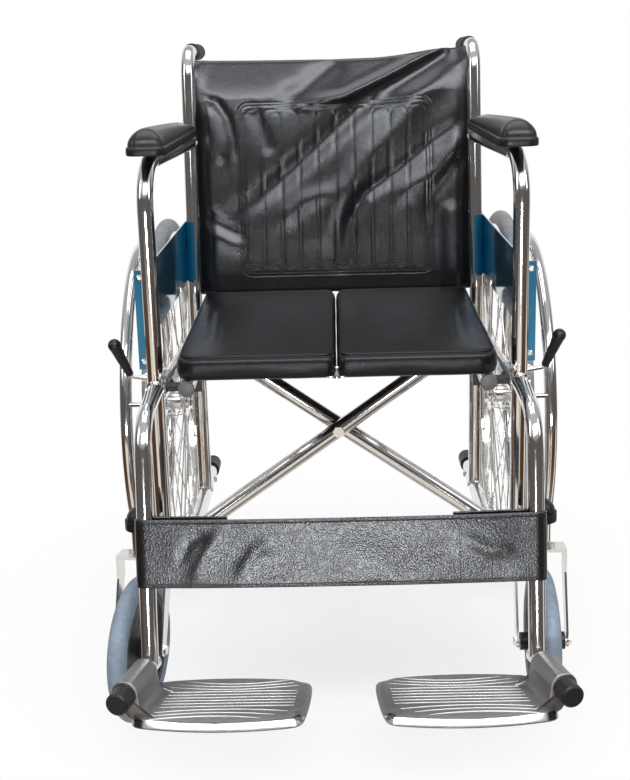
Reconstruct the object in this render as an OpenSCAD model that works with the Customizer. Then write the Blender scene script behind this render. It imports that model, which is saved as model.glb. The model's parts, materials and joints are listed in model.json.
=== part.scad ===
// Folding manual wheelchair with a steel tube frame, fixed armrests and fixed front hangers.
// Millimetres. The chair faces -Y, +Z is up and +X is the sitter's left.
// The origin is on the floor, under the middle of the chair's length.

/* [Frame] */
// Diameter of the frame tubes
tube_d = 22; // [20:1:24]
// Half the distance between the two back posts
back_post_x = 228; // [224:1:232]
// Half the distance between the two front posts
front_post_x = 245; // [243:1:248]
// Front to back distance between a front post and a back post
post_gap = 399; // [390:1:405]
// Height of the arm tubes
arm_z = 745; // [735:1:755]
// Height of the push handles
handle_z = 874; // [865:1:880]
// How far the arm tubes drop towards the back
arm_drop = 11; // [0:1:14]
// Lean of the backrest, in degrees from upright
recline = 9.2; // [8:0.1:11]

/* [Seat] */
// Height of the top of the seat
seat_top = 499; // [495:1:503]
// Width of the seat over both cushions
seat_w = 426; // [420:1:428]
// Front to back length of a cushion
cushion_l = 434; // [425:1:434]
// Thickness of a cushion
cushion_t = 35; // [33:1:36]
// Gap between the two cushions
cushion_gap = 3; // [2:1:12]

/* [Folding cross] */
// Diameter of the two crossing tubes
brace_d = 25; // [22:1:25]
// Half the distance between the two seat rails
seat_rail_x = 200; // [198:1:201]
// Height of the lower rails, which the cross turns on
lower_rail_z = 152; // [148:1:154]

/* [Rear wheels] */
// Diameter of a rear wheel over its tyre
wheel_d = 610; // [604:1:612]
// Half the distance between the two tyres' middles
wheel_x = 275; // [274:1:277]
// How far the rear axle is behind the back posts
axle_setback = 27; // [26:1:30]
// Number of spokes in a wheel
spokes = 36; // [28:4:36]

/* [Casters] */
// Diameter of a caster wheel
caster_d = 200; // [196:1:200]
// Half the distance between the two swivel stems
stem_x = 270; // [267:1:272]
// How far the stem is ahead of the front post
stem_lead = 44; // [42:1:46]
// How far the caster's axle stands ahead of its stem
trail = 36; // [30:1:38]
// How far the right caster is turned at rest, in degrees
right_caster_turn = 12; // [0:1:14]

/* [Footrests] */
// Height of a footplate's top face
plate_top = 105; // [100:1:108]
// Thickness of a footplate
plate_t = 8; // [6:1:9]
// Turn of the footplate hinges away from straight ahead, in degrees
toe_out = 14.8; // [10:0.1:16]

/* [Hidden] */
$fn = 64;
weld = 0.1;
running = 0.05;
bend_thin = 0.06;
tube_r = tube_d / 2;
wheel_r = wheel_d / 2;
caster_r = caster_d / 2;

back_post_y = 185;
front_post_y = back_post_y - post_gap;
axle_y = back_post_y + axle_setback;
chair_front = -(axle_y + wheel_r);

recline_z = 505;
lean = tan(recline);
handle_end_y = back_post_y + 232;

side_rail_z = 430;
rail_z = seat_top - cushion_t - tube_r;
brace_r = brace_d / 2;
brace_front_y = 8;
brace_back_y = brace_front_y + brace_d + 1;
brace_slope = atan2(rail_z - lower_rail_z, seat_rail_x + back_post_x);
cross_z = lower_rail_z + back_post_x * tan(brace_slope);
sleeve_r = tube_r + 4;
sleeve_l = 56;

stem_y = front_post_y - stem_lead;
stem_r = 6;
crown_z = 219;
crown_t = 4;
fork_half = 35;
fork_t = 3;
housing_r = 14.5;
housing_z = [226, 262];
caster_axle_r = 4;
caster_tyre_r = 13;
caster_rim_r = caster_r - 20;

strut_z = 245;
strut_r = 9;

hanger_x = 247;
hanger_foot = [hanger_x, -403, 131];
hanger_lean = 36 / 190;
hanger_tilt = atan(hanger_lean);
hanger_bend = [hanger_x, -345, 436];
hinge_dir = [sin(toe_out), -cos(toe_out), 0];
hinge_l = 109;
barrel_r = 17;
barrel_span = [16, 82];

strap_z = [231, 317];
strap_t = 2.5;

hub_r = 6 + running;
rim_r = [268, 284];
rim_half_w = 11;
tyre_r = 12.5;
handrim_r = 262;
handrim_tube_r = 9.5;
handrim_x = wheel_x + 41;

pad_x = [212, 265];
pad_y = [-235, 184];
pad_z = [arm_z + tube_r + 1, 792];

panel_z = [514, 610];
panel_t = 2;
panel_roll_r = tube_r + 3;

lever_pivot = [266, -140, 440];
shoe_pivot = [266, -118, 414];
shoe_at = [275, -99, 358];
shoe_r = 6;
pivot_r = 4;
pivot_nut_r = 5.2;
eye_r = 9;

// ---------------------------------------------------------------- general shapes

function unit(v) = v / norm(v);
function turn_between(u, v) = acos(max(-1, min(1, u * v)));

// Puts its children at p, with their +Z along w and their +X along u, which is square to w.
module placed(p, u, w) {
    v = cross(w, u);
    multmatrix([[u[0], v[0], w[0], p[0]], [u[1], v[1], w[1], p[1]], [u[2], v[2], w[2], p[2]]])
        children();
}

// Puts its children at p, with their +Z along d.
module along(p, d) {
    w = unit(d);
    side = abs(w[2]) < 0.9 ? [0, 0, 1] : [0, 1, 0];
    placed(p, unit(cross(side, w)), w) children();
}

// A straight round bar from a to b.
module bar(a, b, r) {
    along(a, b - a) cylinder(r = r, h = norm(b - a));
}

// A round bar through points, with an arc of its own radius at each inner point. Each arc is a
// hair thinner than the bar and runs a little way into it, so that the two always join.
module bent_bar(points, radii, r) {
    n = len(points);
    lap = 1;
    steps = [for (i = [0:n - 2]) unit(points[i + 1] - points[i])];
    cuts = [for (i = [0:n - 1])
        i == 0 || i == n - 1 ? 0 : radii[i - 1] * tan(turn_between(steps[i - 1], steps[i]) / 2)];
    for (i = [0:n - 2])
        bar(points[i] + steps[i] * cuts[i], points[i + 1] - steps[i] * cuts[i + 1], r);
    for (i = [1:n - 2]) {
        u = steps[i - 1];
        bend_r = radii[i - 1];
        extra = lap / bend_r * 180 / PI;
        inward = unit(steps[i] - u * (u * steps[i]));
        placed(points[i] - u * cuts[i] + inward * bend_r, -inward, cross(-inward, u))
            rotate([0, 0, -extra])
                rotate_extrude(angle = turn_between(u, steps[i]) + 2 * extra)
                    translate([bend_r, 0]) circle(r = r - bend_thin);
    }
}

// A ring round the X axis at x, with a round section.
module ring_x(x, big_r, r) {
    translate([x, 0, 0]) rotate([0, 90, 0])
        rotate_extrude($fn = 128) translate([big_r, 0]) circle(r = r);
}

// A round bar along X from x0 to x1.
module x_bar(x0, x1, r) {
    translate([x0, 0, 0]) rotate([0, 90, 0]) cylinder(r = r, h = x1 - x0);
}

// A solid turned round the X axis, from its outline as [radius, x] points.
module turned_x(outline) {
    rotate([0, 90, 0]) rotate_extrude($fn = 96) polygon(outline);
}

// Moves the children to the rear axle.
module at_axle() {
    translate([0, axle_y, wheel_r]) children();
}

// The same part on the sitter's right.
module right() {
    mirror([1, 0, 0]) children();
}

// Where the reclined back post is at height z.
function back_at(z) = [back_post_x, back_post_y + max(0, z - recline_z) * lean, z];
// Where the hanger is at height z, below its bend.
function hanger_at(z) = [hanger_x, hanger_foot[1] + (z - hanger_foot[2]) * hanger_lean, z];
function hinge_at(d) = hanger_foot + hinge_dir * d;
// Where the side rail is at depth y.
function side_rail_at(y) =
    [front_post_x + (back_post_x - front_post_x) * (y - front_post_y) / post_gap, y, side_rail_z];

// ---------------------------------------------------------------- tube frame

back_post_path = [
    [back_post_x, back_post_y, lower_rail_z], [back_post_x, back_post_y, recline_z],
    back_at(handle_z), [back_post_x, handle_end_y, handle_z - 5]
];
arm_path = [
    back_at(arm_z - arm_drop), [front_post_x, front_post_y, arm_z],
    [front_post_x, front_post_y, 232]
];
lower_rail_path = [
    [back_post_x, 303, lower_rail_z], [back_post_x, -58, lower_rail_z],
    [front_post_x, front_post_y, strut_z - 2]
];
hanger_path = [
    [front_post_x, front_post_y, 446], hanger_bend, hanger_foot
];

module arm_bar(extra) {
    bent_bar(arm_path, [58], tube_r + extra);
}

module lower_rail_bar(extra) {
    bent_bar(lower_rail_path, [70], tube_r + extra);
}

// Back post: upright, reclined upper half and rearward push handle in one bent tube.
module back_post() {
    color("silver") difference() {
        bent_bar(back_post_path, [120, 42], tube_r);
        lower_rail_bar(weld);
    }
}

// Armrest tube and front post in one bent tube.
module arm_tube() {
    color("silver") difference() {
        arm_bar(0);
        bar(back_at(600), back_at(850), tube_r + weld);
    }
}

// Straight rail between the posts, below the seat.
module side_rail() {
    front = [front_post_x, front_post_y, side_rail_z];
    back = [back_post_x, back_post_y, side_rail_z];
    color("silver") difference() {
        bar(front, back, tube_r);
        bar(front - [0, 0, 40], front + [0, 0, 40], tube_r + weld);
        bar(back - [0, 0, 40], back + [0, 0, 40], tube_r + weld);
    }
}

// Bottom rail: the cross turns on it, and its rear end is the tipping lever.
module lower_rail() {
    color("silver") difference() {
        lower_rail_bar(0);
        bar([front_post_x, front_post_y, 200], [front_post_x, front_post_y, 300], tube_r + weld);
    }
}

// Front hanger: forward from the post, down to the foot, then the footplate's hinge pin.
module hanger() {
    pin_end = hinge_at(hinge_l - 4);
    color("silver") difference() {
        union() {
            bent_bar(hanger_path, [56], tube_r);
            bar(hanger_foot - hinge_dir * tube_r, pin_end, tube_r);
        }
        bar([front_post_x, front_post_y, 400], [front_post_x, front_post_y, 500], tube_r + weld);
    }
}

// Short strut from post to hanger, with the caster's swivel housing welded to it.
module caster_mount() {
    post = [front_post_x, front_post_y, strut_z];
    front = hanger_at(strut_z);
    color("silver") difference() {
        union() {
            bar(post, front, strut_r);
            translate([stem_x, stem_y, housing_z[0]])
                cylinder(r = housing_r, h = housing_z[1] - housing_z[0]);
        }
        bar(post - [0, 0, 40], post + [0, 0, 40], tube_r + weld);
        bar(hanger_at(180), hanger_at(320), tube_r + weld);
        lower_rail_bar(weld);
        translate([stem_x, stem_y, 200]) cylinder(r = stem_r + running, h = 80);
    }
}

// Welded plate behind the back post, with the rear wheel's bolt through it.
module rear_axle() {
    color("silver") at_axle() {
        difference() {
            union() {
                x_bar(236, 242, 20);
                translate([236, -axle_setback - 4, -34]) cube([6, axle_setback + 4, 68]);
            }
            translate([back_post_x, -axle_setback, -60]) cylinder(r = tube_r + weld, h = 120);
            x_bar(230, 250, 6 + weld);
        }
        union() {
            x_bar(231, 309, 6);
            translate([226, 0, 0]) rotate([0, 90, 0]) cylinder(r = 11, h = 9.7, $fn = 6);
            translate([303.4, 0, 0]) rotate([0, 90, 0]) cylinder(r = 10, h = 8, $fn = 6);
        }
    }
}

// ---------------------------------------------------------------- rubber and plastic on the frame

// Hand grip on the push handle: a thin sleeve with a bead at its front and finger rings.
module push_grip() {
    start = back_post_path[2];
    end = back_post_path[3];
    dir = unit(end - start);
    length = 104;
    rings = 6;
    color("dimgray") along(end + dir * 6, -dir) difference() {
        union() {
            translate([0, 0, 4]) cylinder(r = 13, h = length - 4);
            cylinder(r1 = 9.5, r2 = 13, h = 4);
            translate([0, 0, length - 4]) cylinder(r = 14, h = 4);
            for (i = [1:rings]) translate([0, 0, i * 13]) cylinder(r = 13.5, h = 6);
        }
        translate([0, 0, 6 - weld]) cylinder(r = tube_r + weld, h = length);
    }
}

// Padded armrest on the arm tube.
module arm_pad() {
    mid_x = (pad_x[0] + pad_x[1]) / 2;
    half = (pad_x[1] - pad_x[0]) / 2;
    corner = 14;
    color([0.1, 0.1, 0.1]) hull() {
        for (y = [pad_y[0] + corner, pad_y[1] - corner], s = [-1, 1]) {
            drop = arm_drop * (y - front_post_y) / (back_at(arm_z)[1] - front_post_y);
            translate([mid_x + s * (half - corner), y, pad_z[0] - drop])
                cylinder(r = corner, h = 22, $fn = 24);
            translate([mid_x + s * (half - 16), y, pad_z[1] - 10 - drop]) sphere(r = 10, $fn = 24);
        }
    }
}

// Rubber tip on the tipping lever.
module tip_rubber() {
    color([0.1, 0.1, 0.1]) translate([back_post_x, 340, lower_rail_z]) rotate([90, 0, 0])
        difference() {
            union() {
                cylinder(r1 = 10, r2 = 14, h = 5);
                translate([0, 0, 5]) cylinder(r = 14, h = 40);
            }
            translate([0, 0, 37 - weld]) cylinder(r = tube_r + weld, h = 20);
        }
}

// Rubber cap on the front end of the footplate's hinge pin.
module footrest_cap() {
    color([0.1, 0.1, 0.1]) along(hinge_at(hinge_l), -hinge_dir) difference() {
        union() {
            cylinder(r1 = 12.5, r2 = 14.5, h = 2.5);
            translate([0, 0, 2.5]) cylinder(r = 14.5, h = hinge_l - barrel_span[1] - 3);
        }
        translate([0, 0, 4 - weld]) cylinder(r = tube_r + weld, h = 40);
    }
}

// Domed cap over the top of the swivel stem.
module caster_cap() {
    color([0.1, 0.1, 0.1]) translate([stem_x, stem_y, housing_z[1] + weld]) difference() {
        union() {
            cylinder(r = 22, h = 12);
            translate([0, 0, 12]) cylinder(r = 19, h = 5);
            translate([0, 0, 17]) difference() {
                translate([0, 0, -6]) sphere(r = 20);
                translate([-30, -30, -40]) cube([60, 60, 40]);
            }
        }
        translate([0, 0, -1]) cylinder(r = 13, h = 16);
    }
}

// Plastic saddles that the seat rail rests in, on brackets from the side rail.
module rail_saddles() {
    color([0.15, 0.15, 0.15]) for (y = [-170, 112]) {
        rail_x = side_rail_at(y)[0];
        difference() {
            union() {
                translate([seat_rail_x - 14, y - 14, rail_z - 22]) cube([28, 28, 16]);
                translate([seat_rail_x, y - 10, rail_z - 22]) cube([rail_x - seat_rail_x, 20, 8]);
            }
            translate([seat_rail_x, y - 20, rail_z]) rotate([-90, 0, 0])
                cylinder(r = tube_r + 0.4, h = 40);
            bar([front_post_x, front_post_y, side_rail_z], [back_post_x, back_post_y, side_rail_z],
                tube_r + weld);
        }
    }
}

// Sheet metal skirt guard: flat panel, front flange on the post, rear edge rolled round the outer
// side of the back post.
module skirt_panel() {
    low = panel_z[0];
    top = panel_z[1];
    flange_top = 605;
    flange_low = 469;
    flange_w = 20.5;
    flange_x = front_post_x + 2;
    flange_y = front_post_y + tube_r + 1;
    panel_x = back_post_x + tube_r + 1.5;
    front_x = flange_x + 1;
    panel_l = back_post_y - flange_y;
    swing = atan2(front_x - panel_x, panel_l);
    color([0.1, 0.45, 0.6]) difference() {
        union() {
            translate([panel_x, back_post_y, 0]) rotate([0, 0, swing]) rotate([90, 0, -90])
                translate([0, 0, -panel_t / 2]) linear_extrude(height = panel_t) polygon([
                    [back_post_y - back_at(low)[1], low], [panel_l - 6, low],
                    [panel_l - 6, top], [back_post_y - back_at(top)[1], top]]);
            translate([flange_x, flange_y, flange_low]) cube([flange_w, panel_t, flange_top - flange_low]);
            translate([flange_x, flange_y, low + 1]) cube([panel_t, 12, flange_top - low - 2]);
            bar(back_at(low + 2), back_at(top - 2), panel_roll_r);
        }
        bar(back_at(low - 5), back_at(top + 20), tube_r + weld);
        translate([back_post_x - 43, back_post_y - 40, low - 5]) cube([40, 100, top - low + 10]);
    }
}

module screw_head(p, d, r) {
    along(p, d) union() {
        cylinder(r = r, h = 1.2);
        translate([0, 0, 1.2]) cylinder(r1 = r, r2 = r * 0.6, h = 1.6);
    }
}

// Screws of one side: two through the skirt panel's flange, and the tipping lever's rivet heads.
module frame_screws() {
    color("gainsboro") {
        for (z = [480, 595])
            screw_head([front_post_x + 15, front_post_y + tube_r + 1 - weld, z], [0, -1, 0], 4.5);
        translate([back_post_x, 245, lower_rail_z]) for (s = [-1, 1])
            screw_head([s * (tube_r + weld), 0, 0], [s, 0, 0], 6);
    }
}

// ---------------------------------------------------------------- folding cross and seat rails

// Crossing tube: a sleeve on the far lower rail, up through the middle to the near seat rail.
module cross_brace(y, bolt) {
    foot = [-back_post_x, y, lower_rail_z];
    top = [seat_rail_x, y, rail_z];
    color("silver") difference() {
        union() {
            bar(foot, top, brace_r);
            translate([-back_post_x, brace_front_y - brace_r - 8, lower_rail_z])
                rotate([-90, 0, 0]) cylinder(r = sleeve_r, h = sleeve_l);
        }
        translate([-back_post_x, -60, lower_rail_z]) rotate([-90, 0, 0])
            cylinder(r = tube_r + running, h = 160);
        bar(top - [0, 60, 0], top + [0, 60, 0], tube_r + weld);
        translate([0, -60, cross_z]) rotate([-90, 0, 0]) cylinder(r = 5 + running, h = 160);
    }
    if (bolt) color("gainsboro") cross_bolt();
}

// Bolt through the middle of the cross.
module cross_bolt() {
    front = brace_front_y - brace_r;
    back = brace_back_y + brace_r;
    translate([0, front - 4, cross_z]) rotate([-90, 0, 0]) {
        cylinder(r = 5, h = back - front + 9);
        cylinder(r = 9, h = 3.6, $fn = 6);
        translate([0, 0, back - front + 4.4]) cylinder(r = 9, h = 5, $fn = 6);
    }
}

// Seat rail: carried by the top of a crossing tube, lies in the saddles.
module seat_rail() {
    color("silver") bar([seat_rail_x, -248, rail_z], [seat_rail_x, 168, rail_z], tube_r);
}

// ---------------------------------------------------------------- upholstery

// Half of the padded seat.
module seat_cushion() {
    inner = cushion_gap / 2;
    outer = seat_w / 2;
    front = -259;
    corner = 26;
    color([0.08, 0.08, 0.09]) translate([0, 0, seat_top - cushion_t + weld]) {
        intersection() {
            translate([inner, front, 0]) cube([outer - inner, cushion_l, cushion_t - weld]);
            union() {
                translate([inner + corner, front + corner, 0])
                    cylinder(r = corner, h = cushion_t);
                translate([outer - 12, front + 12, 0]) cylinder(r = 12, h = cushion_t);
                translate([inner + corner, front, 0])
                    cube([outer - inner - corner - 12, cushion_l, cushion_t]);
                translate([inner, front + corner, 0])
                    cube([outer - inner - 12, cushion_l - corner, cushion_t]);
                translate([outer - 13, front + 12, 0]) cube([13, cushion_l - 12, cushion_t]);
            }
        }
    }
}

// Back sling behind the two back posts. It passes round the skirt panels' rolled edges and the
// bends of the push handles.
module back_upholstery() {
    low_z = 490;
    low = [back_post_x, back_post_y + (low_z - recline_z) * lean, low_z];
    tall = (862 - low_z) / cos(recline);
    color([0.08, 0.08, 0.09]) difference() {
        translate([0, low[1] + tube_r + 1, low[2]]) rotate([-recline, 0, 0])
            translate([-back_post_x - 8, 0, 0]) cube([2 * back_post_x + 16, 7, tall]);
        for (s = [0, 1]) mirror([s, 0, 0]) {
            bent_bar(back_post_path, [120, 42], tube_r + 4 * weld);
            bar(back_at(panel_z[0] - 20), back_at(panel_z[1] + 2), panel_roll_r + 2 * weld);
        }
    }
}

// Calf strap: a flat band in front of the hangers, round them and a little way back behind, cut
// out round the struts.
module calf_strap() {
    band_r = tube_r + weld * 3;
    low = hanger_at(strap_z[0]);
    color([0.1, 0.1, 0.11]) difference() {
        translate([0, low[1], low[2]]) rotate([-hanger_tilt, 0, 0])
            linear_extrude(height = (strap_z[1] - strap_z[0]) / cos(hanger_tilt)) {
                translate([-hanger_x, -band_r - strap_t]) square([2 * hanger_x, strap_t]);
                for (s = [-1, 1]) {
                    difference() {
                        translate([s * hanger_x, 0]) circle(r = band_r + strap_t);
                        translate([s * hanger_x, 0]) circle(r = band_r);
                        translate([s * (hanger_x - 25) - 25, -40]) square([50, 80]);
                    }
                    translate([s * (hanger_x - 43) - 43, band_r]) square([86, strap_t]);
                }
            }
        for (s = [0, 1]) mirror([s, 0, 0])
            bar([front_post_x, front_post_y, strut_z], hanger_at(strut_z), strut_r + 2 * weld);
    }
}

// ---------------------------------------------------------------- rear wheels

module rear_tyre() {
    color("lightsteelblue") at_axle() difference() {
        ring_x(wheel_x, wheel_r - tyre_r, tyre_r);
        x_bar(wheel_x - 30, wheel_x + 30, rim_r[1] + weld, $fn = 128);
    }
}

// Rim, crossed wire spokes and hub, laced into one wheel.
module rear_wheel() {
    hub_half = 27;
    flange_x = 17;
    color("silver") at_axle() translate([wheel_x, 0, 0]) difference() {
        union() {
            turned_x([[rim_r[0], -7], [rim_r[0] + 3, -rim_half_w], [rim_r[1], -rim_half_w],
                [rim_r[1], rim_half_w], [rim_r[0] + 3, rim_half_w], [rim_r[0], 7]]);
            turned_x([[0, -hub_half], [13, -hub_half], [13, -flange_x - 4], [28, -flange_x - 4],
                [28, -flange_x + 2], [15, -flange_x + 5], [15, flange_x - 5], [28, flange_x - 2],
                [28, flange_x + 4], [13, flange_x + 4], [13, hub_half], [0, hub_half]]);
            for (i = [0:spokes - 1]) {
                side = i % 2 == 0 ? 1 : -1;
                lead = i % 4 < 2 ? 1 : -1;
                at_rim = i * 360 / spokes;
                at_hub = at_rim + lead * 62;
                bar([side * flange_x + lead * 2, 24 * cos(at_hub), 24 * sin(at_hub)],
                    [side * 3, (rim_r[0] + 4) * cos(at_rim), (rim_r[0] + 4) * sin(at_rim)], 1.1);
            }
        }
        x_bar(-40, 40, hub_r);
    }
}

// Push ring outside the wheel, on six studs from the rim.
module handrim() {
    studs = 6;
    rim_side = wheel_x + rim_half_w;
    color("silver") at_axle() difference() {
        union() {
            ring_x(handrim_x, handrim_r, handrim_tube_r);
            for (i = [0:studs - 1]) rotate([i * 360 / studs + 15, 0, 0])
                bar([rim_side - 2, 0, 277], [handrim_x - 5, 0, handrim_r + 4], 3.5);
        }
        x_bar(rim_side - 30, rim_side + weld, wheel_r);
    }
}

// ---------------------------------------------------------------- casters

// Turns and places the children, drawn round the stem's foot at the origin's x and y.
module at_stem(turn) {
    translate([stem_x, stem_y, 0]) rotate([0, 0, turn]) children();
}

module at_caster_axle(turn) {
    at_stem(turn) translate([0, -trail, caster_r]) children();
}

// Side of the fork: a flat leg from the crown to the axle.
module fork_leg() {
    rotate([90, 0, 90]) linear_extrude(height = fork_t)
        polygon([[-13, crown_z + crown_t], [13, crown_z + crown_t], [10, 190], [9 - trail, 100],
            [-9 - trail, 100], [-14, 190]]);
}

// Fork with its stem and stem nut, and the bolt that the caster wheel turns on.
module caster_fork(turn = 0) {
    color("silver") at_stem(turn) {
        difference() {
            union() {
                translate([-fork_half + 1, -14, crown_z]) cube([2 * fork_half - 2, 28, crown_t]);
                for (x = [-fork_half, fork_half - fork_t]) {
                    translate([x, 0, 0]) fork_leg();
                    translate([x, -trail, caster_r]) x_bar(0, fork_t, 9);
                }
                translate([0, 0, crown_z]) cylinder(r = stem_r, h = 48);
                translate([0, 0, crown_z + crown_t]) cylinder(r = 10, h = 2.6);
                translate([0, 0, housing_z[1] + 0.4]) cylinder(r = 9, h = 6, $fn = 6);
            }
            translate([0, -trail, caster_r]) x_bar(-40, 40, caster_axle_r + weld);
        }
        translate([0, -trail, caster_r]) union() {
            x_bar(-38, 38, caster_axle_r);
            x_bar(-fork_half - 4, -fork_half - weld, 7, $fn = 6);
            x_bar(fork_half + weld, fork_half + 4, 7, $fn = 6);
        }
    }
}

module caster_tyre(turn = 0) {
    color("lightsteelblue") at_caster_axle(turn) difference() {
        ring_x(0, caster_r - caster_tyre_r, caster_tyre_r);
        x_bar(-20, 20, caster_rim_r + weld, $fn = 96);
    }
}

// One-piece plastic hub: rim, web and flanged barrel.
module caster_hub(turn = 0) {
    bore = caster_axle_r + running;
    color([0.12, 0.12, 0.12]) at_caster_axle(turn)
        turned_x([[bore, -30], [12, -30], [12, -17], [17, -17], [17, -13], [24, -8], [60, -5],
            [72, -10], [caster_rim_r, -10], [caster_rim_r, 10], [72, 10], [60, 5], [24, 8],
            [17, 13], [17, 17], [12, 17], [12, 30], [bore, 30]]);
}

// ---------------------------------------------------------------- footrests

// Cast footplate: a plate with bowed edges, a side wall and the hinge barrel.
module footplate() {
    inner_rear = [40, -404];
    outer_rear = [240, -400];
    outer_front = [263, -500];
    inner_front = [52, -508];
    bulge = -chair_front + (outer_front[1] + inner_front[1]) / 2;
    front_bow = [for (t = [0:0.1:1]) outer_front + (inner_front - outer_front) * t
        + [0, -bulge * 4 * t * (1 - t)]];
    rear_bow = [for (t = [0:0.1:1]) inner_rear + (outer_rear - inner_rear) * t
        + [0, 9 * 4 * t * (1 - t)]];
    color("silver") difference() {
        union() {
            translate([0, 0, plate_top - plate_t]) linear_extrude(height = plate_t)
                polygon(concat(front_bow, rear_bow));
            bar(hinge_at(barrel_span[0]), hinge_at(barrel_span[1]), barrel_r);
            along(hinge_at(barrel_span[0]), hinge_dir)
                linear_extrude(height = barrel_span[1] - barrel_span[0]) polygon(web_outline);
        }
        bar(hinge_at(0), hinge_at(hinge_l), tube_r + running);
    }
}
// Section of the wall between barrel and plate, in the hinge's own frame: across, then up.
web_low = plate_top - plate_t / 2 - hanger_foot[2];
web_outline = [[-6, 0], [-6, web_low], [-barrel_r - 1, web_low], [-barrel_r - 1, -6], [-barrel_r, 0]];

// ---------------------------------------------------------------- brakes

// Clamp on the side rail, with the plate that the lever and the shoe arm are bolted to.
module brake_bracket() {
    rail_dir = [back_post_x - front_post_x, post_gap, 0];
    clamp = side_rail_at(-146);
    plate_x = lever_pivot[0] - 8;
    color("gainsboro") union() {
        difference() {
            union() {
                along(clamp, rail_dir) cylinder(r = tube_r + 4, h = 34);
                translate([clamp[0], -150, side_rail_z - 8]) cube([plate_x - clamp[0], 46, 16]);
                translate([plate_x, -156, 404]) cube([4, 52, 48]);
            }
            along(clamp - unit(rail_dir) * 30, rail_dir) cylinder(r = tube_r + weld, h = 100);
        }
        for (p = [lever_pivot, shoe_pivot]) translate([0, p[1], p[2]]) {
            x_bar(plate_x + 2, p[0] + 6, pivot_r);
            x_bar(p[0] + 3.4, p[0] + 8, pivot_nut_r, $fn = 6);
        }
    }
}

// Steel lever: an eye on the pivot, a step outwards and the tang in the grip.
module brake_lever() {
    eye = lever_pivot;
    tang_end = brake_grip_foot + brake_grip_dir * 40;
    color("gainsboro") difference() {
        union() {
            translate([0, eye[1], eye[2]]) x_bar(eye[0] - 3, eye[0] + 3, eye_r);
            bent_bar([eye + [-1, -9, 2], brake_grip_foot - brake_grip_dir * 5, tang_end], [5], 2.8);
        }
        translate([0, eye[1], eye[2]]) x_bar(eye[0] - 10, eye[0] + 10, pivot_r + running);
    }
}
brake_grip_foot = [290, -148, 449];
brake_grip_top = [307, -176, 504];
brake_grip_dir = unit(brake_grip_top - brake_grip_foot);

// Black plastic grip of the brake lever.
module brake_grip() {
    length = norm(brake_grip_top - brake_grip_foot);
    color([0.1, 0.1, 0.1]) along(brake_grip_foot, brake_grip_dir) difference() {
        union() {
            cylinder(r1 = 5.5, r2 = 8.5, h = length - 9);
            translate([0, 0, length - 9]) sphere(r = 9);
        }
        translate([0, 0, -10]) cylinder(r = 3 + weld, h = length);
    }
}

// Shoe arm with the bar that presses on the tyre.
module brake_shoe() {
    arm_x = shoe_pivot[0] - 3;
    arm_t = 6;
    reach = [0, shoe_at[1] - shoe_pivot[1], shoe_at[2] - shoe_pivot[2]];
    tilt = atan2(reach[1], -reach[2]);
    color("gainsboro") difference() {
        union() {
            translate([arm_x, shoe_pivot[1], shoe_pivot[2]]) {
                x_bar(0, arm_t, eye_r);
                rotate([tilt, 0, 0]) translate([0.5, -8, -norm(reach)]) cube([arm_t - 1, 16, norm(reach)]);
            }
            translate([0, shoe_at[1], shoe_at[2]]) x_bar(arm_x + 1, 292, shoe_r);
        }
        translate([0, shoe_pivot[1], shoe_pivot[2]]) x_bar(arm_x - 10, arm_x + 20, pivot_r + running);
    }
}

// ---------------------------------------------------------------- nodes

back_post();  // left_back_post
push_grip();  // left_push_grip
arm_tube();  // left_arm_tube
arm_pad();  // left_arm_pad
side_rail();  // left_side_rail
lower_rail();  // left_lower_rail
tip_rubber();  // left_tip_rubber
hanger();  // left_hanger
footrest_cap();  // left_footrest_cap
caster_mount();  // left_caster_mount
caster_cap();  // left_caster_cap
caster_fork();  // left_caster_fork
caster_tyre();  // left_caster_tyre
caster_hub();  // left_caster_hub
rear_axle();  // left_rear_axle
rear_tyre();  // left_rear_tyre
rear_wheel();  // left_rear_wheel
handrim();  // left_handrim
skirt_panel();  // left_skirt_panel
frame_screws();  // left_frame_screws
brake_bracket();  // left_brake_bracket
brake_lever();  // left_brake_lever
brake_grip();  // left_brake_grip
brake_shoe();  // left_brake_shoe
footplate();  // left_footplate
seat_rail();  // left_seat_rail
rail_saddles();  // left_rail_saddles
cross_brace(brace_front_y, true);  // left_cross_brace
seat_cushion();  // left_seat_cushion
right() back_post();  // right_back_post
right() push_grip();  // right_push_grip
right() arm_tube();  // right_arm_tube
right() arm_pad();  // right_arm_pad
right() side_rail();  // right_side_rail
right() lower_rail();  // right_lower_rail
right() tip_rubber();  // right_tip_rubber
right() hanger();  // right_hanger
right() footrest_cap();  // right_footrest_cap
right() caster_mount();  // right_caster_mount
right() caster_cap();  // right_caster_cap
right() caster_fork(right_caster_turn);  // right_caster_fork
right() caster_tyre(right_caster_turn);  // right_caster_tyre
right() caster_hub(right_caster_turn);  // right_caster_hub
right() rear_axle();  // right_rear_axle
right() rear_tyre();  // right_rear_tyre
right() rear_wheel();  // right_rear_wheel
right() handrim();  // right_handrim
right() skirt_panel();  // right_skirt_panel
right() frame_screws();  // right_frame_screws
right() brake_bracket();  // right_brake_bracket
right() brake_lever();  // right_brake_lever
right() brake_grip();  // right_brake_grip
right() brake_shoe();  // right_brake_shoe
right() footplate();  // right_footplate
right() seat_rail();  // right_seat_rail
right() rail_saddles();  // right_rail_saddles
right() cross_brace(brace_back_y, false);  // right_cross_brace
right() seat_cushion();  // right_seat_cushion
back_upholstery();
calf_strap();
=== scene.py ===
import json
import math

import bmesh
import bpy
import numpy as np
from mathutils import Matrix, Vector


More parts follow.
